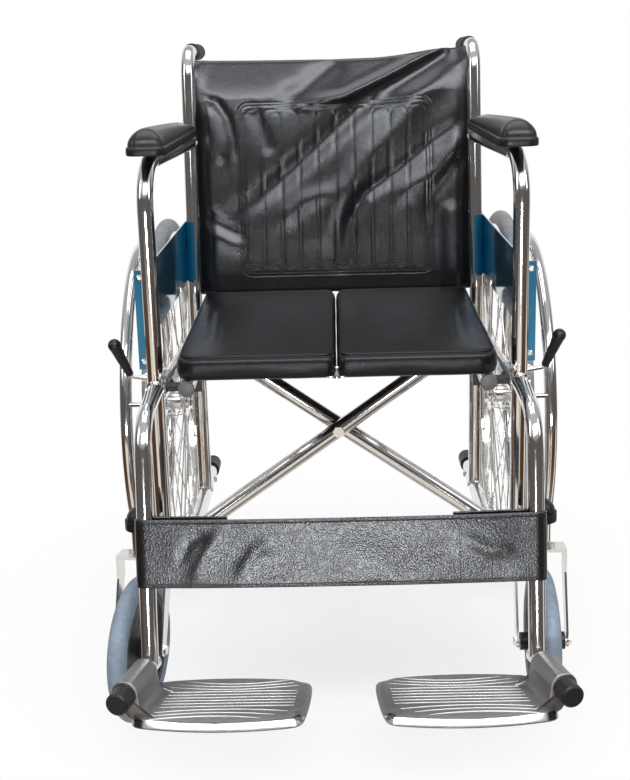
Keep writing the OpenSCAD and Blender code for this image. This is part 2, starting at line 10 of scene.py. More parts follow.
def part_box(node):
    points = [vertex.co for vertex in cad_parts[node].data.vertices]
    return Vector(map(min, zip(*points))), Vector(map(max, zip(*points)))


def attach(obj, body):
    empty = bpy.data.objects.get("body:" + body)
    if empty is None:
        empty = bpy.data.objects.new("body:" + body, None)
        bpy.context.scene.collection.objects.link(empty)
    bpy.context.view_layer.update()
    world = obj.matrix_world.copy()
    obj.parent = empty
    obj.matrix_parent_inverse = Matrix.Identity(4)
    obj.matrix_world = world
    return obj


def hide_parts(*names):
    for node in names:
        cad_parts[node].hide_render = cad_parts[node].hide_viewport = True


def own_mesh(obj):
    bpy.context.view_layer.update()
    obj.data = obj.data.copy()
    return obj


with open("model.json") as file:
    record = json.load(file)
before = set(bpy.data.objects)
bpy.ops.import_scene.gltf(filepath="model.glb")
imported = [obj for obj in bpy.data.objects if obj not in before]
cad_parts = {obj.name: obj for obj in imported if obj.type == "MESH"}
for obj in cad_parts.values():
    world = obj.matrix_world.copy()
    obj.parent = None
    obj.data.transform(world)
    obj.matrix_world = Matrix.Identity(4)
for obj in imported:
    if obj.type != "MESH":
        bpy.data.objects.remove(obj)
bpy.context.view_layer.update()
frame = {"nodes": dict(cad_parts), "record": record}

# Everything is in metres, in the frame of the CAD model: +Z up, the chair faces -Y, +X is the
# sitter's left. Lengths that are easier to read in millimetres are written as a number * MM.
MM = 0.001
SIDES = {"left": 1.0, "right": -1.0}
TUBE_R = 11 * MM
RECLINE = math.radians(9.2)
HANGER_TILT = math.atan(36 / 190)
HINGE_TURN = math.radians(14.8)
FRONT_POST = Vector((245, -214, 0)) * MM
HANGER_FOOT = Vector((247, -403, 131)) * MM
ARM_SLOPE = 0.0251
SEAT_CORNERS = (13, 24, 12, 12)
SEAT_INSET = 26


# ------------------------------------------------------------------ mesh building

class Shape:
    """Vertices and faces of one piece, gathered from simple swept and turned forms."""

    def __init__(self):
        self.verts = []
        self.faces = []

    def add(self, verts, faces):
        base = len(self.verts)
        self.verts += [tuple(map(float, v)) for v in verts]
        self.faces += [tuple(int(i) + base for i in f) for f in faces]

    def mirror(self, sign):
        """Turns a left-hand form into a right-hand one where sign is -1."""
        self.verts = [(v[0] * sign, v[1], v[2]) for v in self.verts]

    def sheet(self, front, back):
        """A thin sheet between two grids of points, closed round its edge."""
        rows, cols = front.shape[:2]
        faces = grid_faces(rows, cols)
        self.add(front.reshape(-1, 3), faces)
        self.add(back.reshape(-1, 3), [f[::-1] for f in faces])
        around = [(i, 0) for i in range(rows)] + [(rows - 1, j) for j in range(1, cols)]
        around += [(i, cols - 1) for i in range(rows - 2, -1, -1)]
        around += [(0, j) for j in range(cols - 2, 0, -1)]
        places = [i * cols + j for i, j in around]
        total = rows * cols
        for a, b in zip(places, places[1:] + places[:1]):
            self.faces.append((a, b, b + total, a + total))

    def loft(self, rings, caps=True):
        """Skin over closed rings of equal length, each a list of points."""
        count = len(rings[0])
        faces = []
        for j in range(len(rings) - 1):
            for i in range(count):
                k = (i + 1) % count
                faces.append((j * count + i, j * count + k, (j + 1) * count + k, (j + 1) * count + i))
        if caps:
            faces.append(tuple(range(count))[::-1])
            faces.append(tuple(range((len(rings) - 1) * count, len(rings) * count)))
        self.add([p for ring in rings for p in ring], faces)

    def tube(self, points, radii, sides=14, closed=False):
        """A round tube through points, with one radius or one for each point."""
        pts = [Vector(p) for p in points]
        n = len(pts)
        radii = [float(r) for r in (np.full(n, radii) if np.isscalar(radii) else radii)]
        rings, across = [], None
        for i, p in enumerate(pts):
            before = pts[i - 1] if closed or i else pts[0]
            after = pts[(i + 1) % n] if closed or i < n - 1 else pts[-1]
            run = (after - before).normalized()
            if across is None:
                across = run.orthogonal().normalized()
            across = (across - run * across.dot(run)).normalized()
            up = run.cross(across)
            rings.append([p + radii[i] * (across * math.cos(a) + up * math.sin(a))
                          for a in np.linspace(0, 2 * math.pi, sides, endpoint=False)])
        if closed:
            twist = self.best_turn(rings[-1], rings[0])
            rings.append(rings[0][twist:] + rings[0][:twist])
            self.loft(rings, caps=False)
        else:
            self.loft(rings)

    @staticmethod
    def best_turn(ring, other):
        """How far to turn other's points so that they meet ring's."""
        count = len(ring)
        return min(range(count), key=lambda t: (ring[0] - other[t % count]).length)

    def turned(self, outline, origin, axis, sides=32):
        """A solid turned round an axis, from (radius, distance along the axis) points."""
        origin, axis = Vector(origin), Vector(axis).normalized()
        across = axis.orthogonal().normalized()
        up = axis.cross(across)
        rings = []
        for radius, along in outline:
            centre = origin + axis * along
            rings.append([centre + max(radius, 1e-7) * (across * math.cos(a) + up * math.sin(a))
                          for a in np.linspace(0, 2 * math.pi, sides, endpoint=False)])
        self.loft(rings)


def grid_faces(rows, cols):
    """Faces of a grid of points given row by row."""
    return [(i * cols + j, (i + 1) * cols + j, (i + 1) * cols + j + 1, i * cols + j + 1)
            for i in range(rows - 1) for j in range(cols - 1)]


def make_piece(name, shape, material, body, sharp=38, merge=0.02 * MM):
    """A Blender object from a Shape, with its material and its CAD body."""
    mesh = bpy.data.meshes.new(name)
    mesh.from_pydata(shape.verts, [], shape.faces)
    work = bmesh.new()
    work.from_mesh(mesh)
    bmesh.ops.remove_doubles(work, verts=work.verts, dist=merge)
    bmesh.ops.dissolve_degenerate(work, edges=work.edges, dist=merge / 10)
    bmesh.ops.recalc_face_normals(work, faces=work.faces)
    work.to_mesh(mesh)
    work.free()
    mesh.shade_smooth()
    mesh.set_sharp_from_angle(angle=math.radians(sharp))
    obj = bpy.data.objects.new(name, mesh)
    bpy.context.scene.collection.objects.link(obj)
    mesh.materials.append(material)
    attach(obj, body)
    return obj


def points_of(obj):
    co = np.empty(len(obj.data.vertices) * 3)
    obj.data.vertices.foreach_get("co", co)
    return co.reshape(-1, 3)


def set_points(obj, co):
    obj.data.vertices.foreach_set("co", co.ravel())
    obj.data.update()


def normals_of(obj):
    normals = np.empty(len(obj.data.vertices) * 3)
    obj.data.vertices.foreach_get("normal", normals)
    return normals.reshape(-1, 3)


def apply_modifiers(obj):
    """Turns the object's modifiers into plain mesh."""
    graph = bpy.context.evaluated_depsgraph_get()
    graph.update()
    mesh = bpy.data.meshes.new_from_object(obj.evaluated_get(graph))
    obj.modifiers.clear()
    obj.data = mesh


def subdivide(obj, levels=1):
    modifier = obj.modifiers.new("smooth", "SUBSURF")
    modifier.levels = levels
    apply_modifiers(obj)
    obj.data.shade_smooth()


def smooth_step(value):
    t = np.clip(value, 0, 1)
    return t * t * (3 - 2 * t)


def along_path(x, y, path):
    """Distance of each point from a path of straight stretches, and how far along it, from 0 to 1."""
    path = np.array(path, float)
    lengths = np.linalg.norm(np.diff(path, axis=0), axis=1)
    starts = np.concatenate([[0], np.cumsum(lengths)])
    best = np.full(x.shape, np.inf)
    place = np.zeros(x.shape)
    for a, b, start, length in zip(path[:-1], path[1:], starts, lengths):
        t = np.clip(((x - a[0]) * (b[0] - a[0]) + (y - a[1]) * (b[1] - a[1])) / length**2, 0, 1)
        d = np.hypot(x - a[0] - t * (b[0] - a[0]), y - a[1] - t * (b[1] - a[1]))
        nearer = d < best
        best = np.where(nearer, d, best)
        place = np.where(nearer, (start + t * length) / starts[-1], place)
    return best, place


def box_distance(x, y, centre, half, radius):
    """Signed distance from the outline of a rectangle with round corners."""
    dx = np.abs(x - centre[0]) - (half[0] - radius)
    dy = np.abs(y - centre[1]) - (half[1] - radius)
    outside = np.hypot(np.maximum(dx, 0), np.maximum(dy, 0))
    return outside + np.minimum(np.maximum(dx, dy), 0) - radius


# ------------------------------------------------------------------ materials

def add_node(tree, kind, inputs=None, **settings):
    """A shader node with its settings, and its sockets set or linked."""
    made = tree.nodes.new(kind)
    for key, value in settings.items():
        setattr(made, key, value)
    for key, value in (inputs or {}).items():
        if isinstance(value, bpy.types.NodeSocket):
            tree.links.new(value, made.inputs[key])
        else:
            made.inputs[key].default_value = value
    return made


class Paint:
    """A node material round one Principled shader, built a node at a time."""

    def __init__(self, name, **uniform):
        self.material = bpy.data.materials.new(name)
        self.material.use_nodes = True
        self.tree = self.material.node_tree
        self.shader = self.tree.nodes["Principled BSDF"]
        for socket, value in uniform.items():
            self.shader.inputs[socket.replace("_", " ")].default_value = value
        self.place = self.node("ShaderNodeTexCoord").outputs["Object"]
        self.normal = None

    def node(self, kind, inputs=None, **settings):
        return add_node(self.tree, kind, inputs, **settings)

    def link(self, output, socket):
        self.tree.links.new(output, self.shader.inputs[socket])

    def stretched(self, scale):
        return self.node("ShaderNodeMapping", {"Vector": self.place, "Scale": scale}).outputs[0]

    def noise(self, scale, detail=3.0, rough=0.55, where=None, distortion=0.0):
        inputs = {"Vector": where or self.place, "Scale": scale, "Detail": detail,
                  "Roughness": rough, "Distortion": distortion}
        return self.node("ShaderNodeTexNoise", inputs).outputs["Fac"]

    def cells(self, scale, where=None, feature="DISTANCE_TO_EDGE", jitter=1.0):
        inputs = {"Vector": where or self.place, "Scale": scale, "Randomness": jitter}
        return self.node("ShaderNodeTexVoronoi", inputs, feature=feature).outputs["Distance"]

    def spread(self, value, low, high, out_low=0.0, out_high=1.0):
        inputs = {"Value": value, "From Min": low, "From Max": high, "To Min": out_low,
                  "To Max": out_high}
        return self.node("ShaderNodeMapRange", inputs).outputs[0]

    def math(self, operation, a, b=0.0):
        return self.node("ShaderNodeMath", {0: a, 1: b}, operation=operation).outputs[0]

    def colour(self, factor, dark, light):
        ramp = self.node("ShaderNodeValToRGB", {"Fac": factor})
        ramp.color_ramp.elements[0].color = (*dark, 1)
        ramp.color_ramp.elements[1].color = (*light, 1)
        self.link(ramp.outputs["Color"], "Base Color")

    def rough(self, factor, low, high):
        self.link(self.spread(factor, 0.3, 0.7, low, high), "Roughness")

    def bump(self, height, distance, strength=1.0):
        inputs = {"Height": height, "Distance": distance, "Strength": strength}
        if self.normal is not None:
            inputs["Normal"] = self.normal
        self.normal = self.node("ShaderNodeBump", inputs).outputs["Normal"]
        self.link(self.normal, "Normal")


def chrome():
    """Bright plated tube: slightly warm, with faint waves from the bending and fine rub marks."""
    paint = Paint("chrome", Metallic=1.0)
    paint.colour(paint.noise(14, 2), (0.80, 0.79, 0.775), (0.90, 0.895, 0.885))
    marks = paint.noise(240, 4, where=paint.stretched((1, 1, 0.12)))
    paint.rough(marks, 0.07, 0.14)
    paint.bump(paint.noise(9, 1), 0.35 * MM, 0.35)
    paint.bump(marks, 0.01 * MM, 0.25)
    return paint.material


def bright_steel():
    """Zinc plated fasteners and pressed steel."""
    paint = Paint("bright_steel", Metallic=1.0)
    paint.colour(paint.noise(90, 3), (0.56, 0.565, 0.575), (0.78, 0.78, 0.79))
    paint.rough(paint.noise(320, 4), 0.16, 0.32)
    paint.bump(paint.noise(500, 3), 0.03 * MM, 0.4)
    return paint.material


def cast_aluminium(name="cast_aluminium", light=0.66, low=0.26, high=0.46, depth=0.09):
    """Tumbled casting: pale grey with a fine tooth."""
    paint = Paint(name, Metallic=1.0)
    paint.colour(paint.noise(60, 4), (light * 0.86,) * 3, (light, light, light * 1.01))
    paint.rough(paint.noise(150, 5), low, high)
    paint.bump(paint.noise(900, 5, 0.7), depth * MM, 0.5)
    paint.bump(paint.noise(45, 2), depth * 2.2 * MM, 0.25)
    return paint.material


def blue_paint():
    """Deep blue metallic lacquer over pressed sheet, with a little orange peel."""
    paint = Paint("blue_paint", Metallic=0.65, Roughness=0.13, Coat_Weight=1.0, Coat_Roughness=0.03)
    paint.colour(paint.noise(22, 3), (0.006, 0.14, 0.30), (0.018, 0.27, 0.46))
    paint.bump(paint.noise(55, 2), 0.12 * MM, 0.4)
    paint.bump(paint.noise(420, 2), 0.01 * MM, 0.5)
    return paint.material


def leatherette(name, tone=1.0, grain=1.0, low=0.22, high=0.36, scale=560, gloss=0.62):
    """Black coated cloth: pebbled grain that catches the light, and soft mottling."""
    paint = Paint(name, Specular_IOR_Level=gloss)
    paint.shader.inputs["Specular Tint"].default_value = (0.92, 0.95, 1.0, 1)
    pebbles = paint.spread(paint.cells(scale), 0.0, 0.42)
    fine = paint.noise(scale * 2.2, 3)
    cloud = paint.noise(16, 3)
    height = paint.math("ADD", paint.math("MULTIPLY", pebbles, 0.75), paint.math("MULTIPLY", fine, 0.5))
    dark = tuple(v * tone for v in (0.0075, 0.0078, 0.0090))
    light = tuple(v * tone for v in (0.020, 0.0205, 0.0230))
    paint.colour(paint.math("MULTIPLY", height, paint.spread(cloud, 0.3, 0.7, 0.6, 1.1)), dark, light)
    paint.rough(paint.math("ADD", paint.math("MULTIPLY", fine, 0.6), paint.math("MULTIPLY", cloud, 0.4)),
                low, high)
    paint.bump(height, 0.16 * MM * grain, 0.8)
    paint.bump(paint.noise(70, 3), 0.5 * MM * grain, 0.25)
    return paint.material


def moulded(name, dark, light, low, high, grain=420, depth=0.05, **uniform):
    """Moulded plastic or rubber with a fine spark-eroded texture."""
    paint = Paint(name, **uniform)
    paint.colour(paint.noise(35, 4), dark, light)
    paint.rough(paint.noise(120, 4), low, high)
    paint.bump(paint.noise(grain, 4), depth * MM, 0.6)
    return paint.material


def tyre_rubber(name, dark, light):
    """Solid tyre: chalky bloom, small scuffs and rub lines round the tread."""
    paint = Paint(name, Specular_IOR_Level=0.42)
    bloom = paint.math("ADD", paint.math("MULTIPLY", paint.noise(18, 4), 0.6),
                       paint.math("MULTIPLY", paint.noise(130, 5, 0.65), 0.4))
    paint.colour(paint.spread(bloom, 0.35, 0.65), dark, light)
    paint.rough(paint.noise(90, 4), 0.38, 0.58)
    lines = paint.node("ShaderNodeTexWave", {"Vector": paint.place, "Scale": 120, "Distortion": 0.3},
                       bands_direction="X").outputs["Fac"]
    paint.bump(lines, 0.06 * MM, 0.35)
    paint.bump(paint.noise(300, 4), 0.06 * MM, 0.5)
    return paint.material


def make_materials():
    black = (0.006, 0.006, 0.0065)
    return {
        "chrome": chrome(),
        "fasteners": bright_steel(),
        "aluminium": cast_aluminium(light=0.36, low=0.38, high=0.55, depth=0.05),
        "rib": cast_aluminium("rib_aluminium", 0.60, 0.30, 0.38, 0.01),
        "polished": cast_aluminium("polished_aluminium", 0.86, 0.07, 0.17, 0.03),
        "blue_panel": blue_paint(),
        "leatherette": leatherette("back_leatherette", 0.35, 1.1, 0.20, 0.29, 400, 0.8),
        "seat_cover": leatherette("seat_leatherette", 0.4, 0.7, 0.24, 0.34, 700, 0.36),
        "strap_cover": leatherette("strap_leatherette", 0.5, 1.15, 0.20, 0.30, 300, 1.0),
        "pad": moulded("pad_skin", black, (0.016, 0.0155, 0.015), 0.27, 0.42, 260, 0.06),
        "plastic": moulded("black_plastic", black, (0.016, 0.016, 0.017), 0.28, 0.48),
        "grip": moulded("grip_rubber", (0.020, 0.020, 0.021), (0.040, 0.040, 0.042), 0.42, 0.62),
        "rubber": moulded("black_rubber", black, (0.018, 0.018, 0.019), 0.36, 0.56),
        "tyre": tyre_rubber("caster_rubber", (0.19, 0.245, 0.325), (0.34, 0.41, 0.50)),
        "rear_tyre": tyre_rubber("tyre_rubber", (0.20, 0.205, 0.215), (0.33, 0.335, 0.345)),
        "thread": moulded("thread", (0.008, 0.008, 0.009), (0.020, 0.020, 0.022), 0.5, 0.7, 900, 0.1),
        "clear_plug": moulded("grey_plastic", (0.10, 0.10, 0.105), (0.16, 0.16, 0.165), 0.3, 0.5),
    }


materials = make_materials()


def paint_cad_nodes():
    """Gives every CAD node the material of its kind, or of its slot in the record."""
    for row in frame["record"]["subparts"]:
        node = frame["nodes"][row["node"]]
        kind = row["node"].partition("_")[2]
        node.data.materials.clear()
        node.data.materials.append(materials.get(kind, materials[row["material_slot"]]))


# ------------------------------------------------------------------ back upholstery

def ridged(x, z, path, width, height, fade=0.22):
    """A soft ridge along a path, or a valley where height is negative. It fades in at the ends."""
    distance, place = along_path(x, z, path)
    ends = smooth_step(place / fade) * smooth_step((1 - place) / fade)
    return height * (0.25 + 0.75 * ends) * np.exp(-((distance / width) ** 2))


# Creases of the slack back, as paths of (across, height) in millimetres, with the width and the
# height of each. They run from the high corner on the sitter's left down towards the right.
BACK_CREASES = [
    ([(214, 876), (132, 848), (77, 826), (21, 800), (-54, 786)], 9, 7.5),
    ([(24, 872), (-8, 842), (-46, 812), (-92, 792)], 17, -5.0),
    ([(216, 868), (160, 833), (105, 811), (49, 784), (0, 742), (-60, 690), (-120, 640), (-158, 618)],
     17, -6.5),
    ([(218, 858), (176, 822), (143, 796), (108, 752), (62, 706), (20, 650), (-16, 580)], 20, 5.0),
    ([(224, 765), (160, 723), (105, 680), (49, 643), (26, 600), (10, 530)], 12, -4.5),
    ([(222, 742), (170, 678), (127, 655), (96, 628)], 13, 3.0),
    ([(224, 716), (186, 676), (158, 634), (148, 590)], 12, -3.0),
    ([(-216, 808), (-184, 794), (-168, 770), (-160, 739), (-158, 690)], 6.5, -3.6),
    ([(-220, 790), (-196, 770), (-184, 730), (-180, 690)], 15, 3.4),
    ([(-90, 600), (-48, 634), (8, 652)], 15, 2.8),
    ([(-220, 622), (-180, 600), (-146, 580)], 11, -2.8),
    ([(-206, 588), (-170, 570), (-140, 560)], 12, 2.2),
    ([(-128, 790), (-112, 750), (-96, 705)], 11, -2.4),
]


def emboss_distance(x, z, low, high, left, right, count):
    """Distance from the nearest embossed line: a double outline round a row of long channels."""
    centre = ((left + right) / 2, (low + high) / 2)
    half = ((right - left) / 2, (high - low) / 2)
    lines = np.minimum(np.abs(box_distance(x, z, centre, half, 17)),
                       np.abs(box_distance(x, z, centre, (half[0] - 4.5, half[1] - 4.5), 13)))
    room = (right - left - 18) / count
    for i in range(count):
        channel = (left + 9 + (i + 0.5) * room, centre[1])
        size = (room / 2 - 1.3, half[1] - 11)
        lines = np.minimum(lines, np.abs(box_distance(x, z, channel, size, size[0])))
    return lines


def clustered(low, high, coarse, lines, near, step):
    """Grid places from low to high, close together near the given lines."""
    places = set(np.round(np.linspace(low, high, int((high - low) / coarse) + 1), 3))
    for line in lines:
        places = {p for p in places if abs(p - line) > near + coarse * 0.4 or p in (low, high)}
    for line in lines:
        for p in np.arange(line - near, line + near + step / 2, step):
            if low < p < high:
                places.add(round(float(p), 3))
    ordered = sorted(places)
    kept = [ordered[0]]
    for p in ordered[1:]:
        if p - kept[-1] > step * 0.55:
            kept.append(p)
    kept[-1] = high
    return np.array(kept)


def back_sling():
    """Sling between the back posts: a thin sheet with embossed channels and slack creases."""
    low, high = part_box("back_upholstery")
    slab_t = 7 * MM
    foot_y = low.y
    foot_z = low.z + slab_t * math.sin(RECLINE)
    tall = (high.z - foot_z) / math.cos(RECLINE) / MM
    half = high.x / MM
    panel = {"low": 518.0, "high": 792.0, "left": -151.0, "right": 160.0, "count": 10}
    room = (panel["right"] - panel["left"] - 18) / panel["count"]
    walls = [panel["left"], panel["left"] + 4.5, panel["right"] - 4.5, panel["right"]]
    for i in range(panel["count"]):
        walls += [panel["left"] + 9 + i * room + 1.3, panel["left"] + 9 + (i + 1) * room - 1.3]
    xs = clustered(-half, half, 4.6, walls, 2.4, 1.2)
    ends = [(z - foot_z / MM) / math.cos(RECLINE) for z in (panel["low"] + 9, panel["high"] - 9)]
    ts = clustered(0, tall, 4.0, ends, 16, 1.7)
    x, t = np.meshgrid(xs, ts, indexing="ij")
    z = foot_z / MM + t * math.cos(RECLINE)

    inside = np.clip(1 - (np.abs(x) / (half - 12)) ** 2, 0, 1)
    hold = smooth_step((half - 14 - np.abs(x)) / 26)
    band = np.clip((z - 800) / 62, 0, 1)
    depth = 6.5 * inside + 14 * band * (1 - 0.35 * (1 - band) ** 3) * hold
    depth -= 10 * np.clip(1 - (np.maximum(z - 690, 0) / 170) ** 2, 0, 1) * hold
    for path, width, height in BACK_CREASES:
        depth -= hold * ridged(x, z, path, width, height)
    lines = emboss_distance(x, z, **panel)
    depth += 0.55 * np.exp(-((lines / 1.15) ** 2)) - 0.10 * np.exp(-(((lines - 2.6) / 1.6) ** 2))
    rim = np.abs(x) + np.where(x > 0, 20, 0)
    depth += 2.8 * smooth_step((rim - 188) / 20) * smooth_step((634 - z) / 22)
    depth += 2.2 * smooth_step((rim - 192) / 18) * smooth_step((518 - z) / 20)
    depth += 10 * smooth_step((rim - 205) / 10) * np.clip((z - 833) / 29, 0, 1) ** 2
    rise = 12 * smooth_step((x - 60) / 160) * smooth_step((t - tall * 0.6) / (tall * 0.4))
    rise -= 2.5 * inside * smooth_step((t - tall * 0.7) / (tall * 0.3))

    thick = 2.4
    edge = np.minimum(np.minimum(half - np.abs(x), tall - t), t)
    body = np.sqrt(np.clip(1 - (1 - np.clip(edge / 1.6, 0, 1)) ** 2, 0, 1))
    rings = []
    for face in (-1, 1):
        n = 0.6 + thick / 2 + depth + face * thick / 2 * (0.25 + 0.75 * body)
        up = (t + rise) * MM
        rings.append(np.stack([x * MM, foot_y + n * MM * math.cos(RECLINE) + up * math.sin(RECLINE),
                               foot_z - n * MM * math.sin(RECLINE) + up * math.cos(RECLINE)], -1))
    shape = Shape()
    shape.sheet(*rings)
    sling = make_piece("back_sling", shape, materials["leatherette"], "right_frame", 70,
                       merge=0.001 * MM)
    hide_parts("back_upholstery")
    squash_back(sling)
    return sling


def squash_back(obj):
    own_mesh(obj)


# ------------------------------------------------------------------ seat

def rim_points(low, high, radii, inset, spacing, per_corner=7):
    """Points round a rectangle with round corners, and their partners on the rectangle inset inside.
    radii are for the corners (low, low), (high, low), (high, high) and (low, high)."""
    nx = max(2, round((high[0] - low[0] - 2 * inset) / spacing[0]))
    ny = max(2, round((high[1] - low[1] - 2 * inset) / spacing[1]))
    xs = np.linspace(low[0] + inset, high[0] - inset, nx + 1)
    ys = np.linspace(low[1] + inset, high[1] - inset, ny + 1)
    signs = [(-1, -1), (1, -1), (1, 1), (-1, 1)]
    outer, inner = [], []

    def corner(i):
        sx, sy = signs[i]
        r = radii[i]
        at = ((low[0], high[0])[sx > 0], (low[1], high[1])[sy > 0])
        mate = (at[0] - sx * inset, at[1] - sy * inset)
        first = math.atan2(sy, sx) - math.pi / 4
        centre = (at[0] - sx * r, at[1] - sy * r)
        turn = [first + math.pi / 2 * k / (per_corner - 1) for k in range(per_corner)]
        arc = [(centre[0] + r * math.cos(a), centre[1] + r * math.sin(a)) for a in turn]
        lead = (inset - r) / 2  # a further point on each straight side of the corner
        if lead > 1:
            first_dir, last_dir = turn[0] - math.pi / 2, turn[-1] + math.pi / 2
            arc = ([(arc[0][0] + lead * math.cos(first_dir), arc[0][1] + lead * math.sin(first_dir))] + arc
                   + [(arc[-1][0] + lead * math.cos(last_dir), arc[-1][1] + lead * math.sin(last_dir))])
        for p in arc:
            outer.append(p)
            inner.append(mate)

    def side(pairs):
        for o, i in pairs:
            outer.append(o)
            inner.append(i)

    corner(0)
    side([((v, low[1]), (v, ys[0])) for v in xs])
    corner(1)
    side([((high[0], v), (xs[-1], v)) for v in ys])
    corner(2)
    side([((v, high[1]), (v, ys[-1])) for v in xs[::-1]])
    corner(3)
    side([((low[0], v), (xs[0], v)) for v in ys[::-1]])
    return np.array(outer), np.array(inner), xs, ys


def padded_shape(low, high, radii, inset, spacing, profile):
    """Closed form of a pad: rings that follow profile's (distance in from the edge, height) points,
    from the middle of the bottom to the middle of the top, closed with a flat grid at each end."""
    outer, inner, xs, ys = rim_points(low, high, radii, inset, spacing)
    shape = Shape()
    rings = []
    for d, z in profile:
        s = d / inset
        flat = outer * (1 - s) + inner * s
        rings.append([(p[0] * MM, p[1] * MM, z * MM) for p in flat])
    shape.loft(rings, caps=False)
    for z, flip in ((profile[0][1], True), (profile[-1][1], False)):
        faces = grid_faces(len(xs), len(ys))
        shape.add([(px * MM, py * MM, z * MM) for px in xs for py in ys],
                  [f[::-1] for f in faces] if flip else faces)
    return shape


def swell(obj, loose, cap, pressure=4.0, frames=20):
    """Blows the cover up with Blender's cloth, holding every point where loose is 0."""
    rest = points_of(obj)
    group = obj.vertex_groups.new(name="held")
    for i, free in enumerate(loose):
        group.add([i], float(1 - free), "REPLACE")
    cloth = obj.modifiers.new("cloth", "CLOTH")
    stiffness = {"tension_stiffness": 12, "compression_stiffness": 6, "shear_stiffness": 4,
                 "bending_stiffness": 0.6}
    pressed = {"use_pressure": True, "uniform_pressure_force": pressure}
    for key, value in {"quality": 5, "mass": 0.25, "vertex_group_mass": "held", **stiffness,
                       **pressed}.items():
        setattr(cloth.settings, key, value)
    cloth.settings.effector_weights.gravity = 0
    cloth.collision_settings.use_collision = False
    cloth.point_cache.frame_end = frames
    scene = bpy.context.scene
    for number in range(1, frames + 1):
        scene.frame_set(number)
    apply_modifiers(obj)
    scene.frame_set(1)
    obj.vertex_groups.clear()
    moved = points_of(obj) - rest
    far = np.linalg.norm(moved, axis=1, keepdims=True)
    scale = np.minimum(1, cap / np.maximum(far, 1e-9)) * np.asarray(loose)[:, None]
    set_points(obj, rest + moved * np.minimum(scale, 1))


def seat_cushions():
    """Two padded halves of the seat, each with a boxed border, a welt and a puckered seam."""
    for side, sign in SIDES.items():
        node = f"{side}_seat_cushion"
        low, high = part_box(node)
        inner_x, outer_x = sorted((abs(low.x) / MM, abs(high.x) / MM))
        lo, hi = (inner_x - 1.2, low.y / MM), (outer_x, high.y / MM)
        top, bottom = high.z / MM, low.z / MM
        profile = [(26, bottom + 0.4), (14, bottom + 0.3), (7, bottom + 0.6), (3.2, bottom + 2.4),
                   (1.2, bottom + 6.5), (0.3, bottom + 12), (0.0, bottom + 18), (0.5, bottom + 23.5),
                   (1.8, bottom + 27.6), (3.4, bottom + 29.6), (4.6, bottom + 30.2), (5.4, bottom + 31.6),
                   (6.8, bottom + 33.4), (9, bottom + 34.1), (15, bottom + 34.5), (26, top - 0.2)]
        shape = padded_shape(lo, hi, SEAT_CORNERS, SEAT_INSET, (6.5, 8), profile)
        shape.mirror(sign)
        pad = make_piece(f"{side}_seat_pad", shape, materials["seat_cover"], "seat", 60)
        co = points_of(pad) / MM
        x, y, z = np.abs(co[:, 0]), co[:, 1], co[:, 2]
        middle = ((lo[0] + hi[0]) / 2, (lo[1] + hi[1]) / 2)
        halves = ((hi[0] - lo[0]) / 2, (hi[1] - lo[1]) / 2)
        inward = -box_distance(x, y, middle, halves, 18)
        loose = np.where(z > bottom + 33, smooth_step((inward - 7) / 14), 0)
        loose = np.maximum(loose, 0.8 * np.exp(-(((z - bottom - 15) / 6) ** 2)) * (inward < 3))
        swell(pad, loose, 3.2 * MM)
        subdivide(pad)
        co = points_of(pad) / MM
        normals = normals_of(pad)
        x, y, z = np.abs(co[:, 0]), co[:, 1], co[:, 2]
        inward = -box_distance(x, y, middle, halves, 18)
        run = np.where(np.abs(normals[:, 1]) > np.abs(normals[:, 0]), x, y)
        pucker = (np.sin(run * 0.62 + 1.7 * np.sin(run * 0.13)) * 0.5
                  + np.sin(run * 0.37 + 2.0 * sign) * 0.35)
        near = np.exp(-(((z - bottom - 27.5) / 3.4) ** 2)) * (inward < 4)
        co += normals * (0.42 * pucker * near)[:, None]
        drape = np.exp(-(((z - bottom - 8) / 8) ** 2)) * (inward < 6)
        co += normals * (0.5 * np.sin(run * 0.045 + sign) * drape)[:, None]
        lines = emboss_distance(x, y, low=lo[1] + 34, high=hi[1] - 22, left=lo[0] + 26,
                                right=hi[0] - 24, count=5)
        upper = (normals[:, 2] > 0.8) & (z > bottom + 30)
        worn = 0.35 + 0.65 * smooth_step((x - lo[0] - 110) / 70)
        co[:, 2] -= np.where(upper, 0.42 * np.exp(-((lines / 1.9) ** 2)) * worn, 0)
        for shift, deep in ((36, 0.9), (50, 0.7), (61, 0.5)):
            path = [(hi[0] - shift, hi[1] - 120), (hi[0] - shift + 5, 0), (hi[0] - shift - 4, lo[1] + 40)]
            distance, place = along_path(x, y, path)
            ends = smooth_step(place / 0.3) * smooth_step((1 - place) / 0.3)
            co[:, 2] -= np.where(upper, deep * ends * np.exp(-((distance / 4.5) ** 2)), 0)
        set_points(pad, co * MM)
        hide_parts(node)
        squash_seat(pad)
        outer, inner, _, _ = rim_points(lo, hi, SEAT_CORNERS, SEAT_INSET, (6.5, 6.5), 9)
        s = 6.0 / SEAT_INSET
        rim = outer * (1 - s) + inner * s
        height = [bottom + 32.6 + 0.12 * math.sin(0.4 * (p[0] + p[1])) for p in rim]
        welt = Shape()
        welt.tube([(p[0] * sign * MM, p[1] * MM, h * MM) for p, h in zip(rim, height)], 1.55 * MM, 10,
                  closed=True)
        piping = make_piece(f"{side}_seat_welt", welt, materials["seat_cover"], "seat", 80)
        squash_seat(piping)


def squash_seat(obj):
    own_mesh(obj)


# ------------------------------------------------------------------ calf strap

def squash_strap(obj):
    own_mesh(obj)


